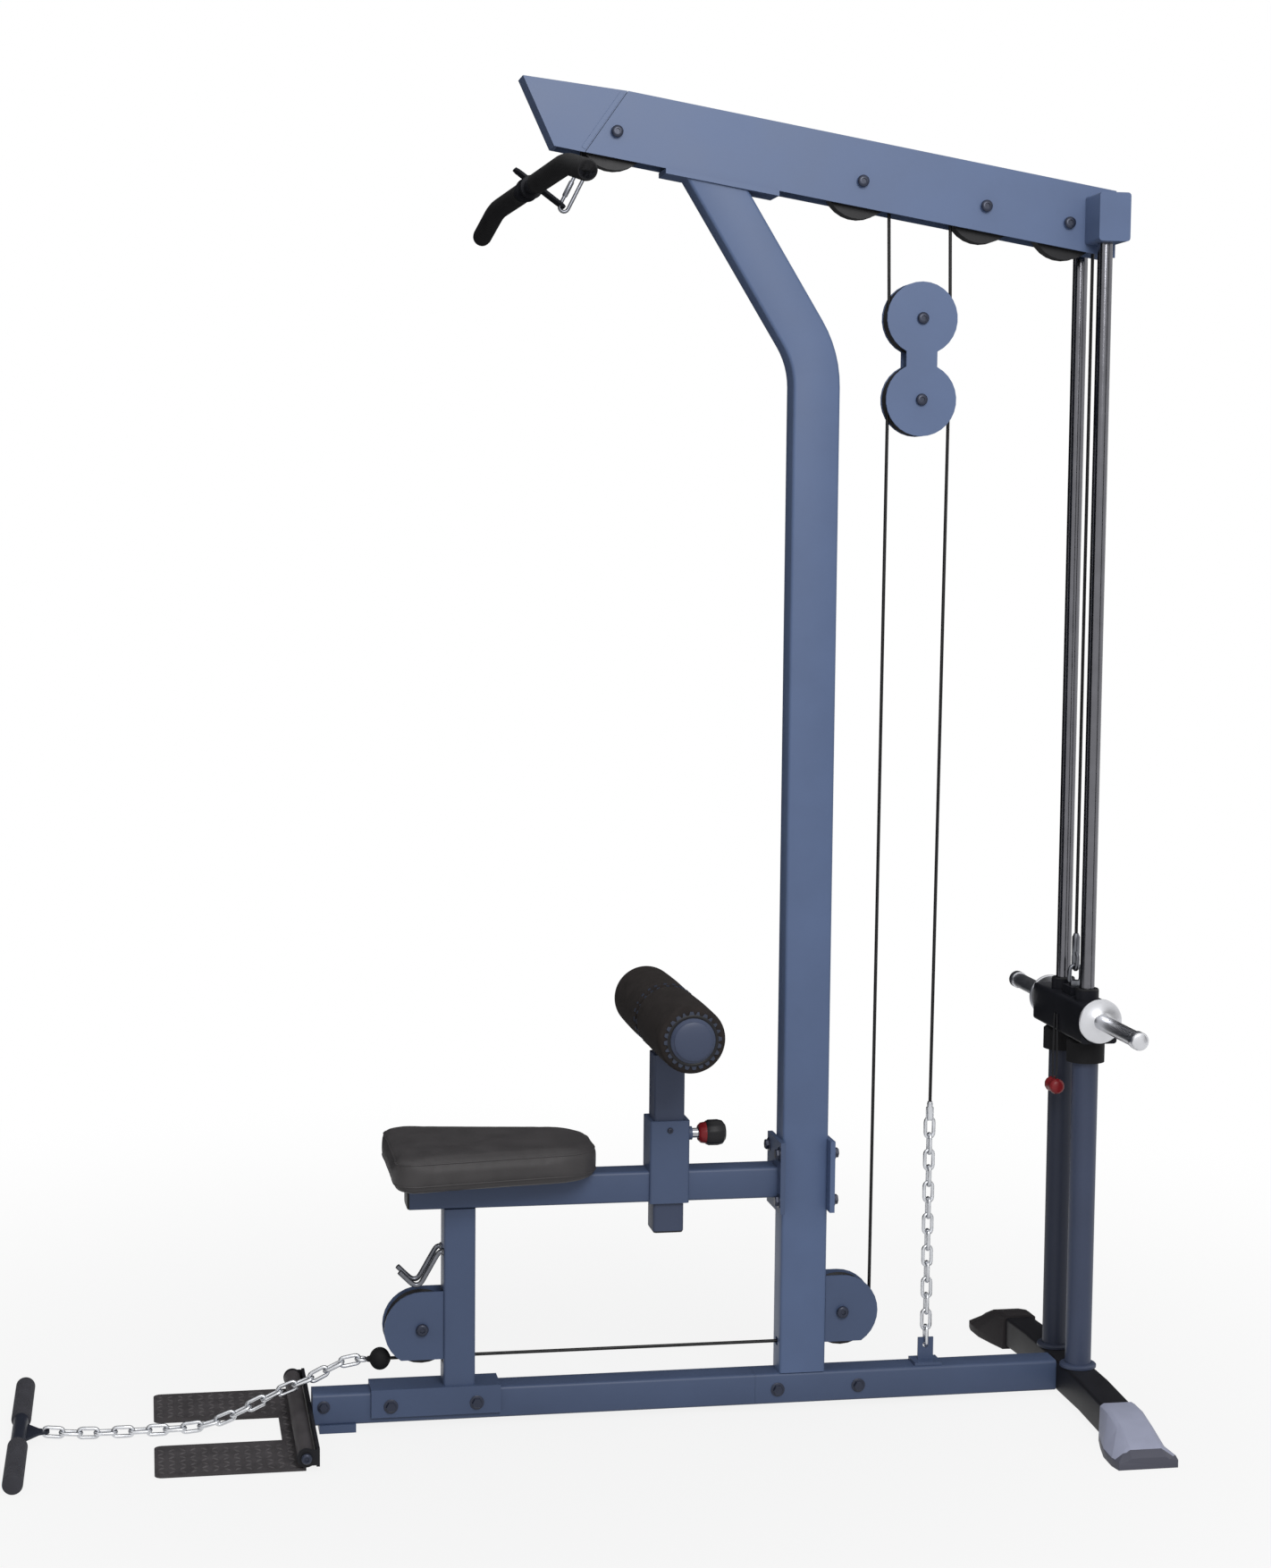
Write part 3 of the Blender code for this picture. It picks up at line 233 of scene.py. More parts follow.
def with_sole(made, sole_colour, height, tip):
    """Below a height, and beyond a distance from the middle, the colour changes to that of a rubber sole."""
    tree = made.node_tree
    base = tree.nodes["Principled BSDF"].inputs["Base Color"]
    split = add_node(tree, "SeparateXYZ", {"Vector": add_node(tree, "TexCoord").outputs["Object"]}).outputs
    above = maths(tree, "GREATER_THAN", split["Z"], height)
    within = maths(tree, "LESS_THAN", maths(tree, "ABSOLUTE", split["Y"]), tip)
    sides = {"A": shade(sole_colour), "B": base.links[0].from_socket}
    sides["Factor"] = maths(tree, "MULTIPLY", above, within)
    tree.links.new(add_node(tree, "Mix", sides, data_type="RGBA").outputs["Result"], base)


# Colour, roughness, metallic share, colour variation, scale of the patches and of the grain, bump depth
PAINT = surface("slate_powder_coat", (86, 103, 137), 0.42, 0, 0.06, 9, 1100, 0.00010)
# The lower frame's paint: the slate coat made darker, with shade painted into its colour
LOW_PAINT_SHADED = surface("base_coat_painted_shade", (72, 86, 115), 0.42, 0, 0.06, 9, 1100, 0.00010)
# The guide post, hold-down post and roller axle: the slate coat made darker still, with shade painted into
# its colour
POST_PAINT_SHADED = surface("post_coat_painted_shade", (61, 70, 93), 0.45, 0, 0.07, 9, 1100, 0.00010)
DARK_PAINT = surface("dark_slate_coat", (28, 28, 32), 0.5, 0, 0.15, 9, 700, 0.00022, shine=0.2)
BOLT_STEEL = surface("bolt_steel", (40, 46, 64), 0.36, 0.3, 0.12, 120, 1200, 0.00004)
BLACK_PAINT = surface("black_coat", (30, 31, 36), 0.38, 0, 0.15, 9, 900, 0.00012, shine=0.08)
CHROME = surface("chrome_plate", (165, 166, 170), 0.12, 1.0, 0.05, 30, 1500, 0.00001)
SATIN = surface("satin_chrome", (208, 209, 213), 0.30, 1.0, 0.06, 40, 1500, 0.00002)
ROD_CHROME = surface("rod_chrome", (108, 108, 113), 0.16, 1.0, 0.08, 30, 1500, 0.00001)
ZINC = surface("zinc_plate", (206, 208, 212), 0.30, 1.0, 0.12, 90, 1400, 0.00004)
RUBBER = surface("grip_rubber", (22, 22, 24), 0.70, 0, 0.18, 40, 1300, 0.00018, shine=0.2)
ROW_GRIP = surface("row_grip_rubber", (63, 63, 69), 0.70, 0, 0.15, 40, 1300, 0.00018, shine=0.2)
ROW_STEEL = surface("row_bar_coat", (38, 42, 54), 0.45, 0, 0.10, 40, 1000, 0.00010, shine=0.25)
FOAM = surface("foam_skin", (43, 39, 38), 0.85, 0, 0.20, 60, 750, 0.00035, shine=0.15)
VINYL = surface("upholstery_vinyl", (66, 64, 65), 0.5, 0, 0.12, 25, 620, 0.00022, cells=True, shine=0.25)
PLASTIC = surface("black_nylon", (25, 25, 28), 0.42, 0, 0.12, 50, 1000, 0.00008, shine=0.25)
JACKET = surface("cable_jacket", (20, 20, 22), 0.35, 0, 0.15, 70, 1600, 0.00006, shine=0.25)
GREY = surface("foot_plastic", (154, 158, 179), 0.55, 0, 0.05, 30, 1200, 0.00008)
with_sole(GREY, (80, 81, 93), 0.013, 0.371)
# The far shoe: the near shoe's grey plastic made near black, with shade painted into its colour
FAR_FOOT_SHADED = surface("far_foot_painted_shade", (42, 39, 41), 0.6, 0, 0.10, 30, 1200, 0.00008, shine=0.2)
# The far guide post: the post coat made darker, with shade painted into its colour
FAR_POST_SHADED = surface("far_post_coat_painted_shade", (48, 53, 68), 0.45, 0, 0.07, 9, 1100, 0.00010, shine=0.25)
TREAD = surface("tread_steel", (70, 67, 69), 0.55, 0, 0.2, 35, 900, 0.00020, shine=0.2)
TREAD_RIDGE = surface("tread_ridge", (86, 83, 85), 0.5, 0, 0.2, 35, 900, 0.00010, shine=0.25)
HOOK_STEEL = surface("hook_steel", (112, 114, 120), 0.32, 1.0, 0.15, 60, 1300, 0.00005)
TOOTH = surface("end_disc_nylon", (46, 53, 70), 0.45, 0, 0.10, 60, 900, 0.00008)
RED = surface("red_knob", (124, 22, 29), 0.38, 0, 0.10, 60, 1200, 0.00006)

# The finish of every node that stays in view
# Base, post and far-side pieces take darker copies of their materials, with shade painted into the colour
NODE_LOOKS = {
    PAINT: "upright boom_channel boom_nose top_stub_near top_stub_far float_bracket",
    LOW_PAINT_SHADED: (
        "front_base_rail rear_base_rail seat_frame front_post low_front_bracket low_rear_bracket "
        "anchor_bracket"
    ),
    POST_PAINT_SHADED: "guide_post_near hold_down_post roller_axle",
    FAR_POST_SHADED: "guide_post_far",
    DARK_PAINT: "rear_crossmember hinge_bar",
    BLACK_PAINT: "carriage_frame",
    CHROME: "lat_ferrule",
    ROD_CHROME: "guide_rod_near guide_rod_far",
    RUBBER: "bumper_near bumper_far",
    PLASTIC: (
        "boom_pulley_1 boom_pulley_2 boom_pulley_3 boom_pulley_4 low_front_pulley low_rear_pulley "
        "float_wheel_upper float_wheel_lower"
    ),
    GREY: "rear_foot_near",
    FAR_FOOT_SHADED: "rear_foot_far",
    TREAD: "footplate",
}
SMOOTH_ANGLE = math.radians(38)
WELD_REACH = 0.00001
FOOT_EDGE = 0.004


def dress_nodes():
    """Gives each node its finish and smooth shading, and rounds the edges of the two shoes."""
    for look, names in NODE_LOOKS.items():
        for name in names.split():
            node = frame["nodes"][name]
            node.data.materials.clear()
            node.data.materials.append(look)
            for face in node.data.polygons:
                face.use_smooth = True
            weld = node.modifiers.new("weld", "WELD")
            weld.merge_threshold = WELD_REACH
            split = node.modifiers.new("split", "EDGE_SPLIT")
            split.split_angle = SMOOTH_ANGLE
            split.use_edge_sharp = False
    for name in ("rear_foot_near", "rear_foot_far"):
        node = frame["nodes"][name]
        soften = node.modifiers.new("soften", "BEVEL")
        soften.width = FOOT_EDGE
        soften.segments = 3
        node.modifiers.move(2, 1)


# Mesh pieces
def piece(name, points, faces, look, body=None):
    """A mesh object with sharp edges marked, its material set and its body set."""
    mesh = bpy.data.meshes.new(name)
    mesh.from_pydata([tuple(p) for p in points], [], faces)
    shape = bmesh.new()
    shape.from_mesh(mesh)
    bmesh.ops.recalc_face_normals(shape, faces=shape.faces)
    for face in shape.faces:
        face.smooth = True
    for edge in shape.edges:
        if len(edge.link_faces) == 2 and edge.calc_face_angle(0) > SMOOTH_ANGLE:
            edge.smooth = False
    shape.to_mesh(mesh)
    shape.free()
    mesh.materials.append(look)
    made = bpy.data.objects.new(name, mesh)
    bpy.context.scene.collection.objects.link(made)
    if body:
        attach(made, body)
    return made


class Shape:
    """Vertices and faces of one piece, added part by part."""

    def __init__(self):
        self.points = []
        self.faces = []

    def add(self, points, faces):
        base = len(self.points)
        self.points += points
        self.faces += [tuple(base + i for i in face) for face in faces]

    def sweep(self, profile, stations, closed=False):
        """Carries a flat profile along (point, side, up) stations."""
        count = len(profile)
        points = [p + s * a + u * b for p, s, u in stations for a, b in profile]
        steps = len(stations) if closed else len(stations) - 1
        faces = []
        for i in range(steps):
            first = i * count
            second = (i + 1) % len(stations) * count
            for j in range(count):
                k = (j + 1) % count
                faces.append((first + j, first + k, second + k, second + j))
        if not closed:
            faces.append(tuple(range(count)))
            faces.append(tuple(range(len(points) - count, len(points))))
        self.add(points, faces)

    def turn(self, centre, axis, profile, count=32, ring=False, notch=None):
        """Turns (radius, distance) pairs about an axis; notch changes the radius with the angle."""
        side = Y_AXIS if abs(axis.y) < 0.5 else X_AXIS
        up = axis.cross(side).normalized()
        side = up.cross(axis).normalized()
        points = []
        rings = []
        for index, (radius, distance) in enumerate(profile):
            middle = centre + axis * distance
            if radius == 0:
                rings.append([len(points)])
                points.append(middle)
                continue
            rings.append(list(range(len(points), len(points) + count)))
            for j in range(count):
                angle = 2 * math.pi * j / count
                here = notch(radius, index, angle) if notch else radius
                points.append(middle + (side * math.cos(angle) + up * math.sin(angle)) * here)
        pairs = list(zip(rings, rings[1:]))
        if ring:
            pairs.append((rings[-1], rings[0]))
        faces = []
        for low, high in pairs:
            for j in range(count):
                k = (j + 1) % count
                corners = [low[j % len(low)], low[k % len(low)], high[k % len(high)], high[j % len(high)]]
                faces.append(tuple(dict.fromkeys(corners)))
        self.add(points, faces)

    def make(self, name, look, slot, body=None):
        return piece(name, self.points, self.faces, look, body)


def turned(name, centre, axis, profile, count, look, slot, body, ring=False, notch=None):
    """A piece made by one turned profile."""
    shape = Shape()
    shape.turn(centre, axis, profile, count, ring, notch)
    return shape.make(name, look, slot, body)


def facing(profile, side):
    """The profile with its distances counted towards one side."""
    return [(radius, side * distance) for radius, distance in profile]


def circle(radius, count):
    turns = [2 * math.pi * i / count for i in range(count)]
    return [(radius * math.cos(t), radius * math.sin(t)) for t in turns]


def along(path, flat):
    """Stations on a path that stays square to flat."""
    stations = []
    for i, point in enumerate(path):
        ahead = path[min(i + 1, len(path) - 1)] - path[max(i - 1, 0)]
        stations.append((point, flat, ahead.cross(flat).normalized()))
    return stations


def arc(x, z, radius, start, end, step=6):
    """Layout points in the middle plane, angles in degrees from +X towards +Z."""
    count = max(2, math.ceil(abs(end - start) / step))
    turns = [math.radians(start + (end - start) * i / count) for i in range(count + 1)]
    return [at(x + radius * math.cos(t), 0, z + radius * math.sin(t)) for t in turns]


def smooth(points, steps):
    """A Catmull-Rom curve through points."""
    found = []
    for i in range(len(points) - 1):
        p0 = points[max(i - 1, 0)]
        p1, p2 = points[i], points[i + 1]
        p3 = points[min(i + 2, len(points) - 1)]
        for step in range(steps):
            t = step / steps
            mixed = p1 * 2 + (p2 - p0) * t + (p0 * 2 - p1 * 5 + p2 * 4 - p3) * t * t
            found.append((mixed + (p1 * 3 - p0 - p2 * 3 + p3) * t * t * t) / 2)
    return found + [points[-1]]


def even(path, spacing):
    """The path with more points on its straight stretches."""
    found = [path[0]]
    for a, b in zip(path, path[1:]):
        count = max(1, math.ceil((b - a).length / spacing))
        found += [a.lerp(b, i / count) for i in range(1, count + 1)]
    return found


# Cables
CABLE_STEP = 0.02
STRETCH_STEPS = 24
BALL_SEAT = 0.017


def cable(name, path, body=None):
    shape = Shape()
    shape.sweep(circle(CABLE_R, 12), along(path, Y_AXIS))
    return shape.make(name, JACKET, "cable_jacket", body)


def cables():
    bolts = list(zip(BOOM_BOLT_X, BOOM_BOLT_Z))
    over = 90 - math.degrees(BOOM_TILT)
    for end, first, last in (("front", *bolts[:2]), ("rear", *bolts[2:])):
        run = arc(*first, RUN_R, 180, over) + arc(*last, RUN_R, over, 0)
        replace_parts(cable(f"boom_run_{end}", run, "frame"), f"boom_cable_{end}")
    low_run = [at(LOW_FRONT_X, 0, RUN_Z)] + arc(LOW_REAR_X, LOW_Z, RUN_R, 270, 360)
    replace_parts(cable("low_run", low_run, "frame"), "low_run_cable")
    lat_top = at(BOOM_BOLT_X[0] - RUN_R, 0, BOOM_BOLT_Z[0])
    lat_end = at(BOOM_BOLT_X[0] - RUN_R, 0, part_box("lat_ferrule")[1].z)
    stretch("lat_drop", [lat_top, lat_end], "lat_cable")
    lift_top = at(BOOM_BOLT_X[3] + RUN_R, 0, BOOM_BOLT_Z[3])
    stretch("carriage_drop", [lift_top, at(ROD_X, 0, EYE_TOP)], "carriage_cable")
    low_ball = at(BALL_X + BALL_SEAT, 0, RUN_Z)
    stretch("row_run", [at(LOW_FRONT_X, 0, RUN_Z), low_ball], None)
    high = [at(BOOM_BOLT_X[1] + RUN_R, 0, BOOM_BOLT_Z[1])]
    high += arc(FLOAT_X, FLOAT_TOP_Z, RUN_R, 180, 360)
    high.append(at(BOOM_BOLT_X[2] - RUN_R, 0, BOOM_BOLT_Z[2]))
    float_loop("high", high)
    low = [at(LOW_REAR_X + RUN_R, 0, LOW_Z)] + arc(FLOAT_X, FLOAT_LOW_Z, RUN_R, 180, 0)
    low.append(at(ANCHOR_X, 0, ANCHOR_TOP + FITTING_TALL))
    float_loop("low", low)


def float_loop(level, path):
    """A run round one wheel of the floating block, stretching between two heights."""
    loop = cable(f"float_loop_{level}", even(path, CABLE_STEP))
    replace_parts(loop, f"float_cable_{level}")
    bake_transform(loop)


def stretch(name, ends, node):
    """A straight run of cable between two ends, from the frame to a moving part."""
    made = cable(name, even(ends, (ends[1] - ends[0]).length / STRETCH_STEPS))
    if node:
        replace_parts(made, node)
    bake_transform(made)


# Chains: layout X and Z of the floor chain's path, which ends short of the ball
FLOOR_KNOTS = (
    (-1.2122, 0.0160), (-1.150, 0.0105), (-1.050, 0.0100), (-0.985, 0.0115), (-0.940, 0.021), (-0.890, 0.043),
    (-0.840, 0.066), (-0.800, 0.081), (-0.760, 0.101), (-0.735, RUN_Z), (-0.700, RUN_Z)
)
FLOOR_CHAIN_END = -0.722
BALL_EYE = 0.006
ANCHOR_EYE_UP = 0.0318


def link_into(shape, start, end, roll, wire=LINK_WIRE, half_wide=LINK_HALF_WIDE):
    """Adds one oval link from start to end, rolled about its length."""
    ahead = (end - start).normalized()
    across = Y_AXIS * math.cos(roll) + ahead.cross(Y_AXIS) * math.sin(roll)
    normal = ahead.cross(across)
    half = (end - start).length / 2 - half_wide + wire * 0.95
    middle = (start + end) / 2
    stations = []
    for sign in (1, -1):
        for step in range(9):
            turn = math.pi * (step / 8 - 0.5)
            out = ahead * math.cos(turn) * sign + across * math.sin(turn) * sign
            stations.append((middle + ahead * half * sign + out * half_wide, normal, out))
    shape.sweep(circle(wire, 10), stations, True)


def chain_into(shape, joints, first, *size):
    """Adds a link between each two joints, lying and standing by turns."""
    for i, (a, b) in enumerate(zip(joints, joints[1:])):
        link_into(shape, a, b, math.pi / 2 * (first + i % 2), *size)


def spaced(path, pitch):
    """Points on a path at equal straight distances."""
    found = [path[0]]
    i = 0
    while i < len(path) - 1:
        a, b = path[i], path[i + 1]
        if (b - found[-1]).length < pitch:
            i += 1
            continue
        low, high = 0.0, 1.0
        for _ in range(40):
            share = (low + high) / 2
            if (a.lerp(b, share) - found[-1]).length < pitch:
                low = share
            else:
                high = share
        found.append(a.lerp(b, high))
    return found


def chains():
    joints = spaced(smooth([at(x, 0, z) for x, z in FLOOR_KNOTS], 6), LINK_PITCH)
    joints = [p for p in joints if p.x - SHIFT < FLOOR_CHAIN_END]
    shape = Shape()
    chain_into(shape, joints, 1)
    nose = at(BALL_X - BALL_R - BALL_EYE, 0, RUN_Z)
    link_into(shape, joints[-1], nose, math.pi / 2 * (len(joints) % 2))
    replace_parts(shape.make("floor_chain", ZINC, "zinc", "row_handle"), "row_chain")
    shape = Shape()
    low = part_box("anchor_bracket")[0].z + ANCHOR_EYE_UP
    count = round((ANCHOR_TOP - low) / LINK_PITCH)
    joints = [at(ANCHOR_X, 0, low + (ANCHOR_TOP - low) * i / count) for i in range(count + 1)]
    chain_into(shape, joints, 0)
    profile = [(0, -0.001), (0.005, -0.001), (0.0065, 0.002), (0.0065, 0.020), (0.0048, 0.0215)]
    profile += [(0.0048, 0.0265), (0.0040, FITTING_TALL), (0, FITTING_TALL)]
    shape.turn(at(ANCHOR_X, 0, ANCHOR_TOP), Z_AXIS, profile, 24)
    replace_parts(shape.make("anchor_links", ZINC, "zinc", "frame"), "anchor_chain")


# Rubber stop at the chain's end, and the links that lift the carriage
LIFT_LEVELS = (0.006, 0.030, 0.053)
LIFT_WIRE = 0.0036
LIFT_HALF_WIDE = 0.0098


def ball():
    nose, seat = -BALL_R - 0.002, 0.0165
    profile = [(0, nose), (0.0045, nose), (0.0050, -BALL_R + 0.0015)]
    steps = 24
    for i in range(3, steps - 2):
        turn = math.pi * (i / steps - 0.5)
        profile.append((BALL_R * math.cos(turn), BALL_R * 0.92 * math.sin(turn)))
    profile += [(0.0050, seat), (0, seat)]
    made = turned("cable_ball", at(BALL_X, 0, RUN_Z), X_AXIS, profile, 48, RUBBER, "rubber", "row_handle")
    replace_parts(made, "ball_stop")


def lift_links():
    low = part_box("carriage_eye")[0].z
    shape = Shape()
    nut = [(0, 0), (0.0095, 0), (0.0095, 0.007), (0.0083, 0.0083), (0, 0.0083)]
    shape.turn(at(ROD_X, 0, low), Z_AXIS, nut, 6)
    joints = [at(ROD_X, 0, low + level) for level in LIFT_LEVELS]
    chain_into(shape, joints, 1, LIFT_WIRE, LIFT_HALF_WIDE)
    ferrule = [(0, low + 0.050), (0.0052, low + 0.050), (0.0066, low + 0.053), (0.0066, EYE_TOP - 0.006)]
    ferrule += [(0.0046, EYE_TOP - 0.002), (0.0040, EYE_TOP), (0, EYE_TOP)]
    shape.turn(at(ROD_X, 0, 0), Z_AXIS, ferrule, 28)
    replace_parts(shape.make("lift_chain", HOOK_STEEL, "chrome", "carriage"), "carriage_eye")


# Fasteners: layout X and Z of the bolts, and how far from the middle their faces stand
RAIL_BOLTS = ((-0.0409, 0.0355), (0.0946, 0.0365))
SADDLE_BOLTS = ((-0.673, 0.040), (-0.5356, 0.040))
HINGE_BOLT = (-0.779, 0.042)
FLANGE_BOLT_Y = 0.037
FLANGE_BOLT_UP = (0.020, 0.097)
FLANGE_FACE_X = -0.0464
SADDLE_HALF = 0.0314
SLEEVE_HALF = 0.0325
BOOM_HALF = 0.0335
LOW_BRACKET_HALF = 0.0255
FLOAT_HALF = 0.0215


def hex_bolt(shape, centre, axis, radius=0.0085, tall=0.006):
    """A washer and a chamfered hexagon head standing on a face, pointing along axis."""
    washer = [(0, 0), (radius * 1.35, 0), (radius * 1.35, 0.0012), (radius * 1.25, 0.0017), (0, 0.0017)]
    shape.turn(centre, axis, washer, 28)
    head = [(0, 0.0015), (radius, 0.0015), (radius, tall), (radius * 0.86, tall + 0.0012), (0, tall + 0.0012)]
    shape.turn(centre, axis, head, 6)


def socket_bolt(shape, centre, axis, radius=0.0095, tall=0.0035):
    """A domed button head with a hexagon socket."""
    dome = [(0, -0.0005), (radius, -0.0005), (radius * 0.97, tall * 0.35), (radius * 0.84, tall * 0.75)]
    dome += [(radius * 0.62, tall), (radius * 0.46, tall)]
    shape.turn(centre, axis, dome + [(radius * 0.44, tall - 0.0022), (0, tall - 0.0022)], 30, False, socket)


def socket(radius, index, angle):
    """Rounds the first rings and makes the last ones hexagonal."""
    if index < 5:
        return radius
    return radius / max(math.cos((angle + math.pi / 6) % (math.pi / 3) - math.pi / 6), 0.5) * 0.9


def fasteners():
    frame_bolts, pulley_bolts, float_bolts = Shape(), Shape(), Shape()
    seat_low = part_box("seat_frame")[0].z
    upright_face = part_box("upright")[1].x - SHIFT
    hinge_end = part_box("hinge_bar")[1].y
    for side in (-1, 1):
        axis = Y_AXIS * side
        for x, z in RAIL_BOLTS:
            hex_bolt(frame_bolts, at(x, side * RAIL_HALF, z), axis)
        for x, z in SADDLE_BOLTS:
            hex_bolt(frame_bolts, at(x, side * SADDLE_HALF, z), axis)
        hex_bolt(frame_bolts, at(HINGE_BOLT[0], side * RAIL_HALF, HINGE_BOLT[1]), axis, 0.0075)
        socket_bolt(frame_bolts, at(HOLD_X, side * SLEEVE_HALF, PIN_Z + 0.012), axis, 0.0050, 0.0025)
        for z in (seat_low + up for up in FLANGE_BOLT_UP):
            hex_bolt(frame_bolts, at(FLANGE_FACE_X, side * FLANGE_BOLT_Y, z), -X_AXIS)
            hex_bolt(frame_bolts, at(upright_face, side * FLANGE_BOLT_Y, z), X_AXIS)
        for x, z in zip(BOOM_BOLT_X, BOOM_BOLT_Z):
            socket_bolt(pulley_bolts, at(x, side * BOOM_HALF, z), axis)
        for x in (LOW_FRONT_X, LOW_REAR_X):
            socket_bolt(pulley_bolts, at(x, side * LOW_BRACKET_HALF, LOW_Z), axis, 0.0100)
        socket_bolt(pulley_bolts, at(HINGE_X, side * (hinge_end + 0.0005), HINGE_Z), axis, 0.0085)
        for z in (FLOAT_TOP_Z, FLOAT_LOW_Z):
            socket_bolt(float_bolts, at(FLOAT_X, side * FLOAT_HALF, z), axis, 0.0095)
    frame_bolts.make("frame_bolts", BOLT_STEEL, "black_paint", "frame")
    pulley_bolts.make("pulley_bolts", BOLT_STEEL, "black_paint", "frame")
    float_bolts.make("float_bolts", BOLT_STEEL, "black_paint", "float_block")


# Seat cushion: a crowned pad, swollen by a short cloth simulation
SEAT_INSET = 0.002
SEAT_HALF_FRONT = 0.138
SEAT_HALF_REAR = 0.086
SEAT_ROUND_FRONT = 0.030
SEAT_ROUND_REAR = 0.066
SEAT_LAYERS = (
    (0.95, 0), (0.985, 0.004), (1.0, 0.011), (1.0, 0.039), (0.992, 0.0455), (0.975, 0.0495), (0.94, 0.052),
    (0.80, 0.0540), (0.55, 0.0550), (0.25, 0.0555)
)
PIPING_STEP = 0.008
SWELL_MOST = 0.0018
SWELL_SAG = 0.0015
SWELL_VOXEL = 0.004
SWELL_PRESSURE = 4
SWELL_FRAMES = 12


def seat_outline(front, rear, steps=10):
    """A wedge seen from above with rounded corners, as points at height 0."""
    corners = [at(front, -SEAT_HALF_FRONT, 0), at(rear, -SEAT_HALF_REAR, 0)]
    corners += [at(rear, SEAT_HALF_REAR, 0), at(front, SEAT_HALF_FRONT, 0)]
    radii = (SEAT_ROUND_FRONT, SEAT_ROUND_REAR, SEAT_ROUND_REAR, SEAT_ROUND_FRONT)
    points = []
    for i, corner in enumerate(corners):
        back = (corners[i - 1] - corner).normalized()
        ahead = (corners[(i + 1) % 4] - corner).normalized()
        half_turn = back.angle(ahead) / 2
        reach = radii[i] / math.tan(half_turn)
        centre = corner + (back + ahead).normalized() * (radii[i] / math.sin(half_turn))
        first = (corner + back * reach - centre).normalized()
        last = (corner + ahead * reach - centre).normalized()
        points += [centre + first.slerp(last, s / steps) * radii[i] for s in range(steps + 1)]
    return points


def layered(name, outline, layers, look):
    """A closed solid of (scale, height) copies of an outline."""
    middle = sum(outline, Vector()) / len(outline)
    middle.z = 0
    count = len(outline)
    points = []
    for scale, z in layers:
        points += [middle + (p - middle) * scale + Z_AXIS * z for p in outline]
    faces = [tuple(range(count)), tuple(range(len(points) - count, len(points)))]
    for i in range(len(layers) - 1):
        for j in range(count):
            k = (j + 1) % count
            faces.append((i * count + j, i * count + k, (i + 1) * count + k, (i + 1) * count + j))
    return piece(name, points, faces, look)


def seat():
    low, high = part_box("seat_pad")
    base = low.z
    outline = seat_outline(low.x - SHIFT + SEAT_INSET, high.x - SHIFT - SEAT_INSET)
    layers = [(scale, base + rise) for scale, rise in SEAT_LAYERS]
    pad = layered("seat_cushion", outline, layers, VINYL)
    swell(pad, SWELL_MOST, base)
    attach(pad, "frame")
    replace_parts(pad, "seat_pad")
    piping("seat_piping_top", pad, outline, base + 0.0480, 0.0016)
    piping("seat_piping_low", pad, outline, base + 0.0120, 0.0014)


def piping(name, pad, outline, level, radius):
    """A thin sewn bead round the cushion, half sunk in its skin."""
    path = []
    for a, b in zip(outline, outline[1:] + outline[:1]):
        count = max(1, round((b - a).length / PIPING_STEP))
        for i in range(count):
            edge = a.lerp(b, i / count)
            path.append(pad.closest_point_on_mesh(Vector((edge.x, edge.y, level)))[1])
    stations = []
    for i, p in enumerate(path):
        ahead = (path[(i + 1) % len(path)] - path[i - 1]).normalized()
        stations.append((p, Z_AXIS, ahead.cross(Z_AXIS)))
    shape = Shape()
    shape.sweep(circle(radius, 8), stations, True)
    shape.make(name, VINYL, "vinyl", "frame")


def swell(pad, most, floor_z):
    """Blows the pad up with cloth pressure, limits how far a point moves, and keeps the underside down."""
    bpy.context.view_layer.objects.active = pad
    remesh = pad.modifiers.new("remesh", "REMESH")
    remesh.mode = "VOXEL"
    remesh.voxel_size = SWELL_VOXEL
    apply_modifiers(pad)
    rest = [v.co.copy() for v in pad.data.vertices]
    cloth = pad.modifiers.new("cloth", "CLOTH")
    cloth.settings.use_pressure = True
    cloth.settings.uniform_pressure_force = SWELL_PRESSURE
    cloth.settings.effector_weights.gravity = 0
    cloth.settings.quality = 4
    scene = bpy.context.scene
    for number in range(1, SWELL_FRAMES + 1):
        scene.frame_set(number)
    apply_modifiers(pad)
    scene.frame_set(1)
    for vertex, before in zip(pad.data.vertices, rest):
        move = vertex.co - before
        if move.length > most:
            move *= most / move.length
        vertex.co = before + move
        vertex.co.z = max(vertex.co.z, floor_z - SWELL_SAG)
    relax = pad.modifiers.new("relax", "SMOOTH")
    relax.iterations = 3
    finer = pad.modifiers.new("finer", "SUBSURF")
    finer.levels = 1
    finer.render_levels = 1
    apply_modifiers(pad)
    for face in pad.data.polygons:
        face.use_smooth = True


def apply_modifiers(target):
    """Keeps the shape that the modifiers give, and drops them."""
    bpy.context.view_layer.update()
    graph = bpy.context.evaluated_depsgraph_get()
    mesh = bpy.data.meshes.new_from_object(target.evaluated_get(graph))
    target.modifiers.clear()
    target.data = mesh


# Foam rollers with toothed end discs
ROLLER_BORE = 0.0135
DISC_BORE = 0.0140
ROLLER_STEPS = 14
ROLLER_BELLY = 0.0010
TOOTH_COUNT = 24
TOOTH_DEEP = 0.0052
TOOTH_FROM_R = 0.042


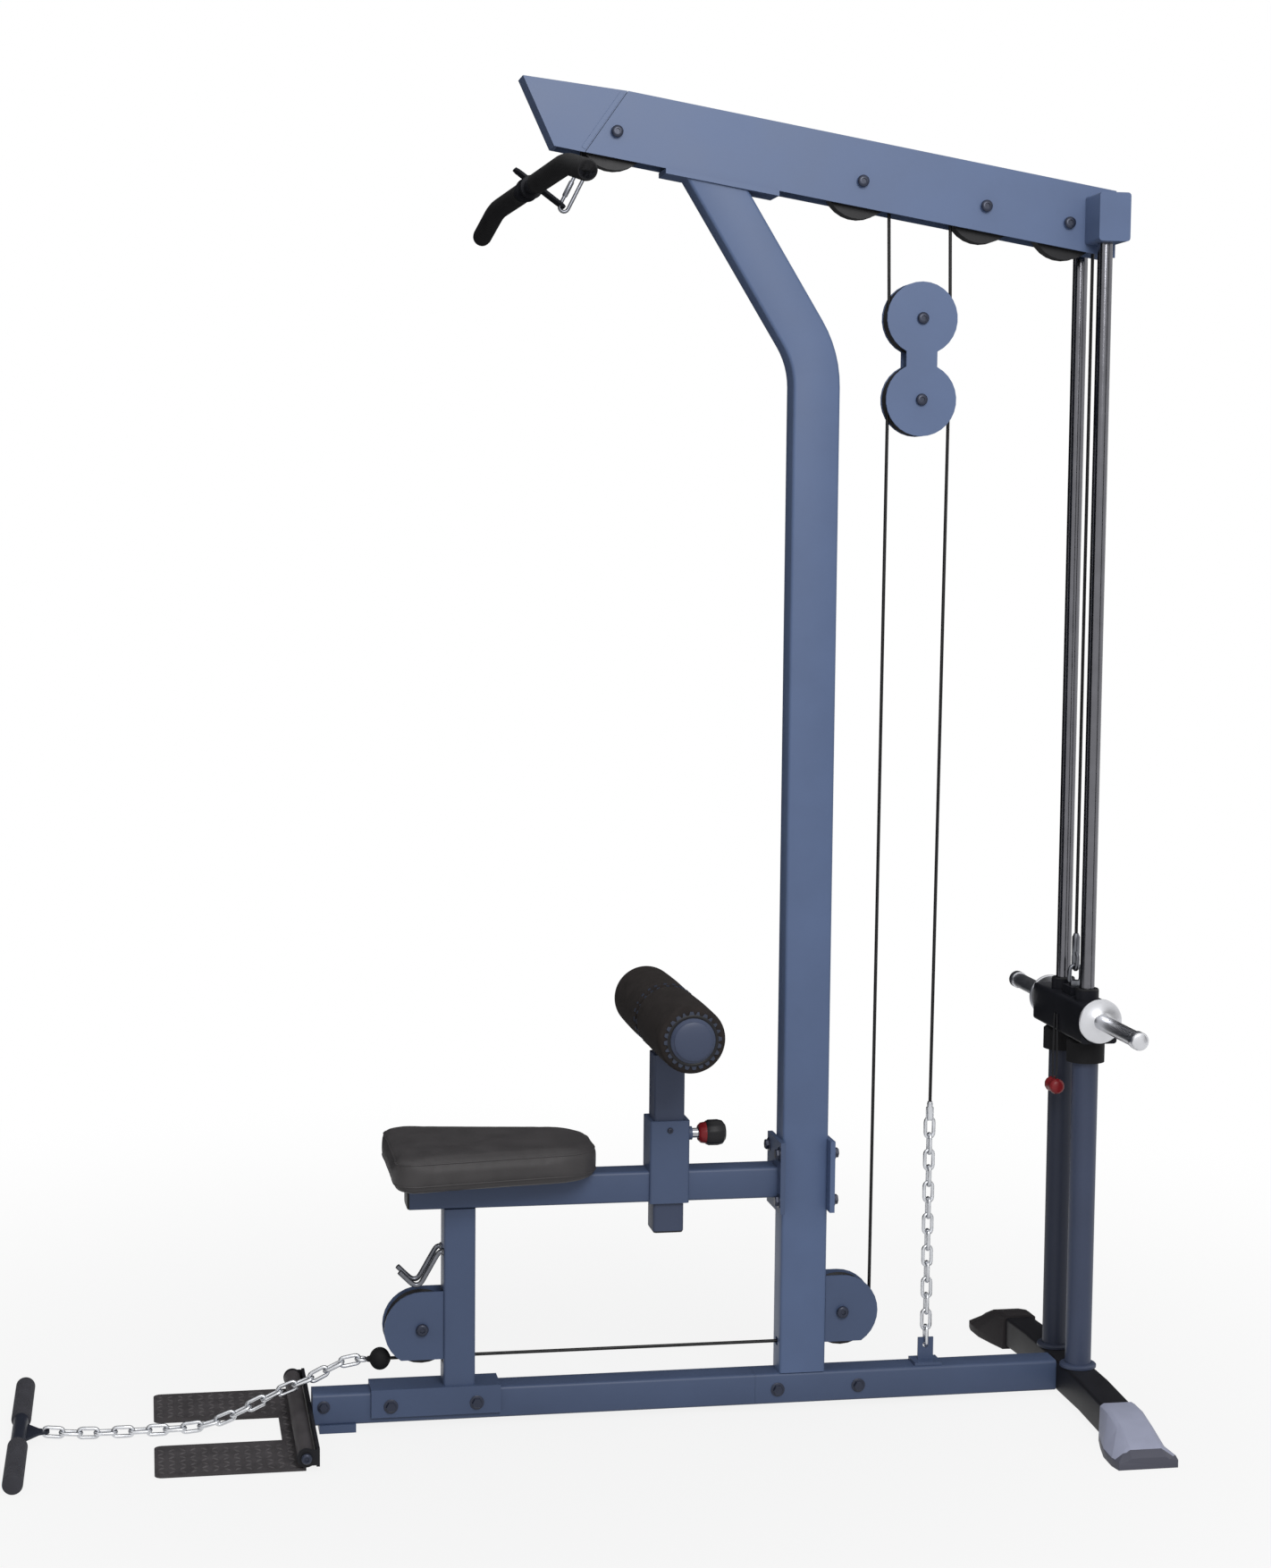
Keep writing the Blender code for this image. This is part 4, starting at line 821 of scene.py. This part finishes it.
def rollers():
    centre = at(HOLD_X, 0, ROLLER_Z)
    for side, end in ENDS:
        body = f"foam_roller_{end}"
        low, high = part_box(body)
        start, stop = sorted((abs(low.y), abs(high.y)))
        full = (high.z - low.z) / 2
        profile = [(ROLLER_BORE, start + 0.001), (full - 0.006, start + 0.001), (full - 0.002, start + 0.003)]
        for i in range(ROLLER_STEPS + 1):
            share = i / ROLLER_STEPS
            belly = ROLLER_BELLY * (math.sin(math.pi * share) - 1)
            profile.append((full + belly, start + 0.008 + share * (stop - start - 0.018)))
        profile += [(full - 0.0022, stop - 0.0055), (full - 0.0050, stop - 0.0022)]
        profile += [(full - 0.010, stop - 0.001), (ROLLER_BORE, stop - 0.001)]
        profile = facing(profile, side)
        foam = turned(f"foam_sleeve_{end}", centre, Y_AXIS, profile, 72, FOAM, "foam", body, True)
        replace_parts(foam, body)
        disc = [(DISC_BORE, stop - 0.002), (full - 0.009, stop - 0.002), (full - 0.0085, stop + 0.0005)]
        disc += [(full - 0.016, stop + 0.0012), (DISC_BORE, stop + 0.0002)]
        collar = [(full - 0.006, start + 0.0030), (full - 0.0005, start + 0.0030), (full, start + 0.0042)]
        collar += [(full - 0.0005, start + 0.0075), (full - 0.006, start + 0.0075)]
        rings = Shape()
        rings.turn(centre, Y_AXIS, facing(disc, side), 120, True, teeth)
        rings.turn(centre, Y_AXIS, facing(collar, side), 144, True, teeth)
        rings.make(f"end_rings_{end}", TOOTH, "pulley_plastic", body)
        seal = [(0.0355, stop - 0.0005), (0.0402, stop - 0.0005), (0.0402, stop + 0.0012)]
        seal += [(0.0392, stop + 0.0018), (0.0365, stop + 0.0018), (0.0355, stop + 0.0012)]
        seal = facing(seal, side)
        turned(f"end_gasket_{end}", centre, Y_AXIS, seal, 72, PLASTIC, "pulley_plastic", body, True)


def teeth(radius, index, angle):
    """Notches round the rim of an end disc."""
    notched = radius >= TOOTH_FROM_R and math.sin(angle * TOOTH_COUNT) > 0
    return radius - TOOTH_DEEP if notched else radius


# Pop pin: chrome shank, red collar and black knob
def pop_pin():
    low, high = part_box("pop_pin")
    centre = Vector((0, 0, (low.z + high.z) / 2))
    tip, end = low.x, high.x
    shank = [(0, tip), (0.0040, tip), (0.0048, tip + 0.002), (0.0048, end - 0.0560), (0.0080, end - 0.0560)]
    shank += [(0.0080, end - 0.045), (0, end - 0.045)]
    made = turned("pin_shank", centre, X_AXIS, shank, 28, CHROME, "chrome", "pop_pin")
    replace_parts(made, "pop_pin")
    collar = [(0, end - 0.046), (0.0125, end - 0.046), (0.0165, end - 0.042), (0.0180, end - 0.032)]
    collar.append((0, end - 0.032))
    turned("pin_collar", centre, X_AXIS, collar, 40, RED, "red_plastic", "pop_pin", False, lobes)
    knob = [(0, end - 0.0335), (0.0188, end - 0.0335), (0.0208, end - 0.029), (0.0210, end - 0.014)]
    knob += [(0.0190, end - 0.006), (0.0130, end - 0.0015), (0.006, end), (0, end)]
    turned("pin_knob", centre, X_AXIS, knob, 48, PLASTIC, "pulley_plastic", "pop_pin", False, lobes)


def lobes(radius, index, angle):
    """Twelve shallow flutes round a knob."""
    return radius * (1 - 0.03 * (1 + math.cos(angle * 12)) / 2)


# Chrome weight posts with dished flanges
WEIGHT_POST_R = 0.0127


def weight_posts():
    for side, end in ENDS:
        low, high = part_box(f"weight_post_{end}")
        start, tip = sorted((abs(low.y), abs(high.y)))
        rim = (high.z - low.z) / 2
        centre = Vector(((low.x + high.x) / 2, 0, (low.z + high.z) / 2))
        profile = [(0, start), (rim - 0.002, start), (rim, start + 0.002), (rim, start + 0.0045)]
        profile += [(rim - 0.0015, start + 0.006), (0.0185, start + 0.0075), (0.0160, start + 0.009)]
        profile += [(WEIGHT_POST_R, start + 0.0105), (WEIGHT_POST_R, tip - 0.020), (0.0143, tip - 0.0185)]
        profile += [(0.0145, tip - 0.017), (0.0145, tip - 0.004), (0.0132, tip - 0.0012)]
        profile += [(0.0112, tip), (0, tip)]
        profile = facing(profile, side)
        made = turned(f"plate_post_{end}", centre, Y_AXIS, profile, 48, SATIN, "chrome", "carriage")
        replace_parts(made, f"weight_post_{end}")


# Lock pin: a red handle with a steel pin, hung on a loop of cord
LOCK_CORD_R = 0.0016
LOCK_KNOB_R = 0.013


def lock_pin():
    low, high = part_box("lock_pin")
    knob = Vector((low.x + LOCK_KNOB_R, 0, low.z + LOCK_KNOB_R))
    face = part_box("carriage_frame")[0].x - 0.0017
    points = ((0.006, high.z), (0.009, high.z - 0.05), (0.010, knob.z + 0.03))
    points += ((0.006, knob.z + 0.008), (0, knob.z + 0.002))
    path = [Vector((face, y, z)) for y, z in points]
    path += [Vector((face, -y, z)) for y, z in reversed(points[:-1])]
    path = smooth(path, 5)
    shape = Shape()
    shape.sweep(circle(LOCK_CORD_R, 8), along(path, X_AXIS))
    strap = shape.make("lock_cord", PLASTIC, "red_plastic", "carriage")
    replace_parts(strap, "lock_pin")
    grip = [(0, -0.019), (0.008, -0.019), (0.0115, -0.0165), (LOCK_KNOB_R, -0.012), (0.0115, -0.006)]
    grip += [(0.010, 0)] + [(radius, -distance) for radius, distance in reversed(grip)]
    handle = turned("lock_knob", knob, Y_AXIS, grip, 40, RED, "red_plastic", "carriage", False, lobes)
    pin = [(0, 0.018), (0.0045, 0.018), (0.0045, 0.027), (0.003, 0.030), (0, 0.030)]
    shank = turned("lock_shank", knob, Y_AXIS, pin, 24, CHROME, "chrome", "carriage")


# Storage hooks: X from the face of the front post, and height
HOOK_KNOTS = (
    (0, 0.284), (-0.006, 0.2835), (-0.012, 0.276), (-0.029, 0.246), (-0.036, 0.235), (-0.042, 0.232),
    (-0.049, 0.234), (-0.058, 0.242), (-0.070, 0.254)
)
HOOK_R = 0.0042


def hooks():
    collar = [(0, 0), (0.0065, 0), (0.0060, 0.0015), (0.0044, 0.003), (0, 0.003)]
    for _, end in ENDS:
        low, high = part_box(f"bar_hook_{end}")
        path = [at(high.x - SHIFT + x, (low.y + high.y) / 2, z) for x, z in HOOK_KNOTS]
        shape = Shape()
        shape.sweep(circle(HOOK_R, 12), along(smooth(path, 4), Y_AXIS))
        shape.turn(path[0], -X_AXIS, collar, 20)
        made = shape.make(f"storage_hook_{end}", HOOK_STEEL, "black_paint", "frame")
        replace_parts(made, f"bar_hook_{end}")


# Row handle: steel bar, ribbed grips and a tab for the chain
ROW_TUBE_R = 0.0118
ROW_TUBE_SHORT = 0.01
ROW_GRIP_FROM = 0.062
ROW_TAB_HALF = 0.0019
RIB_PITCH = 0.008
RIB_DEEP = 0.0009


def grip_profile(start, stop, radius):
    """Half of a grip from start to stop, with shallow ribs."""
    profile = [(radius - 0.0035, start), (radius - 0.0005, start + 0.002)]
    for i in range(int((stop - start - 0.008) / RIB_PITCH)):
        here = start + 0.004 + i * RIB_PITCH
        profile += [(radius, here), (radius, here + RIB_PITCH * 0.68)]
        profile += [(radius - RIB_DEEP, here + RIB_PITCH * share) for share in (0.78, 0.92)]
    profile += [(radius, stop - 0.004), (radius - 0.001, stop - 0.001), (radius - 0.004, stop), (0, stop)]
    return profile


def row_handle():
    low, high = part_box("row_handle")
    radius = high.z / 2 - low.z / 2
    centre = Vector((low.x + radius, 0, (low.z + high.z) / 2))
    half = high.y
    inner = half - ROW_TUBE_SHORT
    shape = Shape()
    shape.turn(centre, Y_AXIS, [(0, -inner), (ROW_TUBE_R, -inner), (ROW_TUBE_R, inner), (0, inner)], 32)
    tab = [(0, 0.045), (0.012, 0.036), (0.030, 0.012), (0.038, 0.0085), (0.044, 0.0065), (0.046, 0.003)]
    tab += [(x, -y) for x, y in reversed(tab)]
    shape.sweep(tab, [(centre + Z_AXIS * z, X_AXIS, Y_AXIS) for z in (-ROW_TAB_HALF, ROW_TAB_HALF)])
    made = shape.make("row_bar", ROW_STEEL, "rubber", "row_handle")
    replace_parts(made, "row_handle")
    for side, end in ENDS:
        grip = facing([(0, ROW_GRIP_FROM)] + grip_profile(ROW_GRIP_FROM, half, radius), side)
        turned(f"row_grip_{end}", centre, Y_AXIS, grip, 36, ROW_GRIP, "rubber", "row_handle")


# Lat bar with rubber grips, hanger strip and snap
LAT_X = -0.458
LAT_Z = 1.9559
LAT_STRAIGHT = 0.262
LAT_BEND_R = 0.42
LAT_BEND = math.radians(10.8)
LAT_TAIL = 0.1155
LAT_YAW = math.radians(2.3)
LAT_TUBE_R = 0.0125
LAT_GRIP_R = 0.0160
LAT_GRIP_STEP = 0.004
LAT_COLLAR_Y = 0.020
SNAP_TOP_Z = 1.9830
HANGER_AHEAD = Vector((0.815, 0, -0.580)).normalized()
HANGER_UP = 0.010
HANGER = [(-0.017, -0.0019), (0.017, -0.0019), (0.017, 0.0019), (-0.017, 0.0019)]
HANGER_WIDTHS = ((-0.036, 0.6), (-0.030, 0.9), (0.0, 1.0), (0.050, 0.95), (0.058, 0.75), (0.0615, 0.45))


def lat_path(side):
    """Centreline of one half of the bar, from the middle to its tip."""
    path = [at(LAT_X, side * LAT_STRAIGHT * i / 8, LAT_Z) for i in range(9)]
    for step in range(1, 9):
        turn = LAT_BEND * step / 8
        y = LAT_STRAIGHT + LAT_BEND_R * math.sin(turn)
        path.append(at(LAT_X, side * y, LAT_Z - LAT_BEND_R * (1 - math.cos(turn))))
    tail = Vector((0, side * math.cos(LAT_BEND), -math.sin(LAT_BEND)))
    path += [path[-1] + tail * LAT_TAIL * i / 4 for i in range(1, 5)]
    return path


def lat_bar():
    centre = Matrix.Translation(at(LAT_X, 0, 0))
    yawed = centre @ Matrix.Rotation(LAT_YAW, 4, "Z") @ centre.inverted()
    shape = Shape()
    path = lat_path(-1)[:0:-1] + lat_path(1)
    shape.sweep(circle(LAT_TUBE_R, 24), along(path, X_AXIS))
    across = Vector((-HANGER_AHEAD.z, 0, HANGER_AHEAD.x))
    middle = at(LAT_X, 0, LAT_Z) + across * HANGER_UP
    shape.sweep(HANGER, [(middle + HANGER_AHEAD * d, Y_AXIS * wide, across) for d, wide in HANGER_WIDTHS])
    collar = [(0.0124, -0.004), (0.0175, -0.004), (0.0185, 0), (0.0175, 0.004), (0.0124, 0.004)]
    for side, _ in ENDS:
        shape.turn(at(LAT_X, side * LAT_COLLAR_Y, LAT_Z), Y_AXIS, collar, 32, True)
    shape.points = [yawed @ p for p in shape.points]
    made = shape.make("lat_tube", BLACK_PAINT, "rubber", "lat_bar")
    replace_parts(made, "lat_bar")
    for side, end in ENDS:
        stations = along(even(lat_path(side)[2:], LAT_GRIP_STEP), X_AXIS)
        for i, (point, flat, up) in enumerate(stations):
            edge = min(i, len(stations) - 1 - i)
            radius = LAT_GRIP_R - (0 if i % 3 else 0.0008) - {0: 0.0022, 1: 0.0008}.get(edge, 0)
            stations[i] = (point, flat * radius, up * radius)
        shape = Shape()
        shape.sweep(circle(1, 24), stations)
        shape.points = [yawed @ p for p in shape.points]
        shape.make(f"lat_grip_{end}", RUBBER, "rubber", "lat_bar")
    eye = yawed @ (middle + HANGER_AHEAD * 0.061 - across * 0.0037)
    top = at(BOOM_BOLT_X[0] - RUN_R, 0, SNAP_TOP_Z)
    shape = Shape()
    link_into(shape, eye, top, math.pi / 2)
    gate = (top - eye).normalized()
    sleeve = eye.lerp(top, 0.5) + gate.cross(Y_AXIS) * LINK_HALF_WIDE
    half = [(0.0042, 0.011), (0.0036, 0.013), (0, 0.013)]
    shape.turn(sleeve, gate, [(r, -t) for r, t in reversed(half)] + half, 20)
    made = shape.make("lat_carabiner", HOOK_STEEL, "chrome", "lat_bar")
    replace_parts(made, "lat_snap")


# Raised tread on the footplate, left out over its slot
TREAD_TOP = 0.0045
TREAD_X = (-1.034, -0.826)
TREAD_HALF_Y = 0.185
TREAD_STEP = 0.0165
TREAD_SLOT_X = -0.838
TREAD_SLOT_HALF_Y = 0.072
TREAD_SUNK = 0.0004
TREAD_RISE = 0.0014
LOZENGE = ((-0.0078, 0), (-0.003, -0.0021), (0.003, -0.0021), (0.0078, 0), (0.003, 0.0021), (-0.003, 0.0021))


def tread():
    shape = Shape()
    for i in range(int((TREAD_X[1] - TREAD_X[0]) / TREAD_STEP) + 1):
        for j in range(int(2 * TREAD_HALF_Y / TREAD_STEP) + 1):
            x = TREAD_X[0] + i * TREAD_STEP
            y = -TREAD_HALF_Y + j * TREAD_STEP
            if x < TREAD_SLOT_X and abs(y) < TREAD_SLOT_HALF_Y:
                continue
            turn = math.radians(45 if (i + j) % 2 else -45)
            ahead = Vector((math.cos(turn), math.sin(turn), 0))
            across = Vector((-ahead.y, ahead.x, 0))
            centre = at(x, y, TREAD_TOP)
            base = [centre + ahead * a + across * b - Z_AXIS * TREAD_SUNK for a, b in LOZENGE]
            ridge = [centre + ahead * a * 0.55 + across * b * 0.5 + Z_AXIS * TREAD_RISE for a, b in LOZENGE]
            faces = [tuple(range(6)), tuple(range(6, 12))]
            faces += [(k, (k + 1) % 6, 6 + (k + 1) % 6, 6 + k) for k in range(6)]
            shape.add(base + ridge, faces)
    shape.make("tread_pattern", TREAD_RIDGE, "tread_plate", "footplate")


# Small frame trim: end plugs, weld collars, bushings, caps and bands
POST_PLUG_HALF = 0.0251
TUBE_CORNER = 0.005
RAIL_UNDER_SEAT = 0.0257
DOME_INSET = 0.0042
DOME_FOOT = 0.0006
DOME_RISE = 0.0045
BAND = [(0.0022, -0.0003), (0.0098, -0.0003), (0.0094, 0.0008), (0.0026, 0.0008)]
BAND_TOP_GAP = 0.0085
BAND_LOW_GAP = 0.003


def trim():
    rail_end = Vector((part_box("seat_frame")[0].x, 0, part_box("seat_pad")[0].z - RAIL_UNDER_SEAT))
    end_plug("rail_plug", "frame", rail_end, Y_AXIS, Z_AXIS, -X_AXIS, RAIL_HALF)
    post_end = at(HOLD_X, 0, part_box("hold_down_post")[0].z)
    end_plug("post_plug", "hold_down", post_end, X_AXIS, Y_AXIS, -Z_AXIS, POST_PLUG_HALF)
    low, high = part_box("guide_post_near")
    tube = (high.x - low.x) / 2 + 0.0003
    ring = [(tube, 0.0003), (tube + 0.0084, 0.0003), (tube + 0.0084, 0.004), (tube + 0.0070, 0.0055)]
    ring += [(tube + 0.0010, 0.007), (tube, 0.007)]
    # The far collar takes the far post's darker coat, with shade painted into its colour
    for (side, end), look in zip(ENDS, (POST_PAINT_SHADED, FAR_POST_SHADED)):
        foot = at(ROD_X, side * ROD_Y, low.z)
        turned(f"post_collar_{end}", foot, Z_AXIS, ring, 40, look, "frame_paint", "frame", True)
    bushes = Shape()
    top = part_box("carriage_frame")[1].z
    inner = ROD_R + 0.0008
    ring = [(inner, 0.0003), (inner + 0.0062, 0.0003), (inner + 0.0062, 0.002), (inner + 0.0048, 0.0032)]
    ring.append((inner, 0.0032))
    for side, _ in ENDS:
        bushes.turn(at(ROD_X, side * ROD_Y, top), Z_AXIS, ring, 32, True)
    bushes.make("rod_bushes", PLASTIC, "pulley_plastic", "carriage")


def cap_domes():
    """Shallow domes on the ends of the roller axle."""
    low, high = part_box("roller_axle")
    radius = (high.z - low.z) / 2 - DOME_INSET
    middle = at(HOLD_X, 0, (low.z + high.z) / 2)
    for (side, end), face in zip(ENDS, (-low.y, high.y)):
        foot = face + DOME_FOOT
        dome = [(0, face - 0.0002), (radius, face - 0.0002), (radius - 0.0002, foot)]
        for turn in (0.2, 0.4, 0.65, 0.9, 1.2):
            dome.append((radius * math.cos(turn), foot + DOME_RISE * math.sin(turn)))
        dome = facing(dome + [(0, foot + DOME_RISE)], side)
        # The domes take the darker post coat, with shade painted into its colour
        turned(f"cap_dome_{end}", middle, Y_AXIS, dome, 64, POST_PAINT_SHADED, "frame_paint", "hold_down")


def nose_bands():
    """A thin raised band on each side of the nose, beside its joint with the boom."""
    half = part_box("boom_nose")[1].y
    top = at(SEAM_TOP_X, 0, boom_top(SEAM_TOP_X))
    low = at(SEAM_LOW_X, 0, boom_top(SEAM_LOW_X) - BOOM_TALL / math.cos(BOOM_TILT))
    ahead = (low - top).normalized()
    across = Y_AXIS.cross(ahead)
    shape = Shape()
    for side, _ in ENDS:
        face = Y_AXIS * side
        ends = (top + ahead * BAND_TOP_GAP, low - ahead * BAND_LOW_GAP)
        shape.sweep(BAND, [(p + face * half, across, face) for p in ends])
    shape.make("nose_bands", PAINT, "frame_paint", "frame")


def end_plug(name, body, centre, side, up, out, half):
    """A shallow domed plug over the end of a square tube."""
    stations = []
    for scale, rise in ((0.97, 0.0003), (0.97, 0.0015), (0.93, 0.0030), (0.80, 0.0038)):
        stations.append((centre + out * rise, side * scale, up * scale))
    inner = half - TUBE_CORNER
    profile = []
    for quarter, (sa, sb) in enumerate(((1, 1), (-1, 1), (-1, -1), (1, -1))):
        for step in range(5):
            turn = math.pi / 2 * (quarter + step / 4)
            out_side, out_up = TUBE_CORNER * math.cos(turn), TUBE_CORNER * math.sin(turn)
            profile.append((sa * inner + out_side, sb * inner + out_up))
    shape = Shape()
    shape.sweep(profile, stations)
    shape.make(name, PLASTIC, "pulley_plastic", body)


# Floor, light and camera
def studio():
    scene = bpy.context.scene
    scene.view_settings.view_transform = "Standard"
    mesh = bpy.data.meshes.new("floor")
    corners = [(x * FLOOR_HALF, y * FLOOR_HALF, 0) for x, y in ((-1, -1), (1, -1), (1, 1), (-1, 1))]
    mesh.from_pydata(corners, [], [(0, 1, 2, 3)])
    floor = bpy.data.objects.new("floor", mesh)
    floor.location.z = cad_box[0].z - FLOOR_DROP
    scene.collection.objects.link(floor)
    mesh.materials.append(floor_look())
    world = bpy.data.worlds.new("studio")
    scene.world = world
    world.use_nodes = True
    tree = world.node_tree
    soft = tree.nodes["Background"]
    put(tree, soft.inputs, {"Color": (1, 1, 1, 1), "Strength": WORLD_LIGHT})
    white = add_node(tree, "Background", {"Color": (1, 1, 1, 1), "Strength": 1.0})
    sides = {"Fac": seen_ray(tree), 1: soft.outputs["Background"], 2: white.outputs["Background"]}
    mix = add_node(tree, "MixShader", sides)
    tree.links.new(mix.outputs["Shader"], tree.nodes["World Output"].inputs["Surface"])
    lamp("key", KEY_AT, KEY_AIM, KEY_WIDE, KEY_WATTS)
    for name, place, half in CARDS:
        card(name, place, half)


def card(name, place, half):
    """A tall dark board that only shiny surfaces mirror."""
    low, high = CARD_Z
    middle = Vector(place)
    across = Vector((-middle.y, middle.x)).normalized() * half
    left, right = middle - across, middle + across
    points = [(*left, low), (*right, low), (*right, high), (*left, high)]
    mesh = bpy.data.meshes.new(name)
    mesh.from_pydata(points, [], [(0, 1, 2, 3)])
    mesh.materials.append(surface(name, CARD_COLOUR, 0.9))
    board = bpy.data.objects.new(name, mesh)
    board.visible_camera = False
    board.visible_diffuse = False
    board.visible_shadow = False
    bpy.context.scene.collection.objects.link(board)


def floor_look():
    """Plain where the shadow lies, fading to the white of the background where it is seen farther out."""
    look = bpy.data.materials.new("studio_floor")
    look.use_nodes = True
    tree = look.node_tree
    shader = tree.nodes["Principled BSDF"]
    grey = (FLOOR_BOUNCE, FLOOR_BOUNCE, FLOOR_BOUNCE, 1)
    put(tree, shader.inputs, {"Base Color": grey, "Roughness": 0.95, "Specular IOR Level": 0.0})
    place = add_node(tree, "TexCoord").outputs["Object"]
    reach = add_node(tree, "VectorMath", {0: place}, operation="LENGTH").outputs["Value"]
    limits = {"From Min": GLOW_FROM, "From Max": GLOW_FULL, "To Min": FLOOR_GLOW}
    fade = add_node(tree, "MapRange", {"Value": reach, **limits}, interpolation_type="SMOOTHSTEP")
    seen = maths(tree, "MULTIPLY", fade.outputs["Result"], seen_ray(tree))
    glow = add_node(tree, "Emission").outputs["Emission"]
    mix = add_node(tree, "MixShader", {"Fac": seen, 1: shader.outputs["BSDF"], 2: glow})
    tree.links.new(mix.outputs["Shader"], tree.nodes["Material Output"].inputs["Surface"])
    return look


def seen_ray(tree):
    """A socket that is 1 for rays from the camera, a mirror or glass."""
    rays = add_node(tree, "LightPath").outputs
    found = maths(tree, "MAXIMUM", rays["Is Camera Ray"], rays["Is Glossy Ray"])
    return maths(tree, "MAXIMUM", found, rays["Is Transmission Ray"])


def lamp(name, place, aim, size, power):
    """A round area lamp turned towards a point."""
    data = bpy.data.lights.new(name, "AREA")
    data.shape = "DISK"
    data.size = size
    data.energy = power
    made = bpy.data.objects.new(name, data)
    made.location = place
    made.rotation_euler = (Vector(aim) - Vector(place)).to_track_quat("-Z", "Y").to_euler()
    bpy.context.scene.collection.objects.link(made)


def camera():
    """The fitted camera, from its yaw, pitch and roll."""
    right = Vector((math.cos(CAMERA_YAW), math.sin(CAMERA_YAW), 0))
    level = math.cos(CAMERA_PITCH)
    ahead = Vector((-math.sin(CAMERA_YAW) * level, math.cos(CAMERA_YAW) * level, math.sin(CAMERA_PITCH)))
    up = right.cross(ahead)
    tilt, flat = math.sin(CAMERA_ROLL), math.cos(CAMERA_ROLL)
    side = right * flat + up * tilt
    top = up * flat - right * tilt
    data = bpy.data.cameras.new("camera")
    data.sensor_width = SENSOR_WIDE
    data.lens = FOCAL_PIXELS * data.sensor_width / IMAGE_TALL
    data.clip_end = VIEW_REACH
    made = bpy.data.objects.new("camera", data)
    turn = Matrix((side, top, -ahead)).transposed().to_4x4()
    made.matrix_world = Matrix.Translation(at(*CAMERA_AT)) @ turn
    bpy.context.scene.collection.objects.link(made)
    bpy.context.scene.camera = made


dress_nodes()
cables()
chains()
ball()
lift_links()
fasteners()
seat()
rollers()
pop_pin()
weight_posts()
lock_pin()
hooks()
row_handle()
lat_bar()
tread()
trim()
cap_domes()
nose_bands()
studio()
camera()
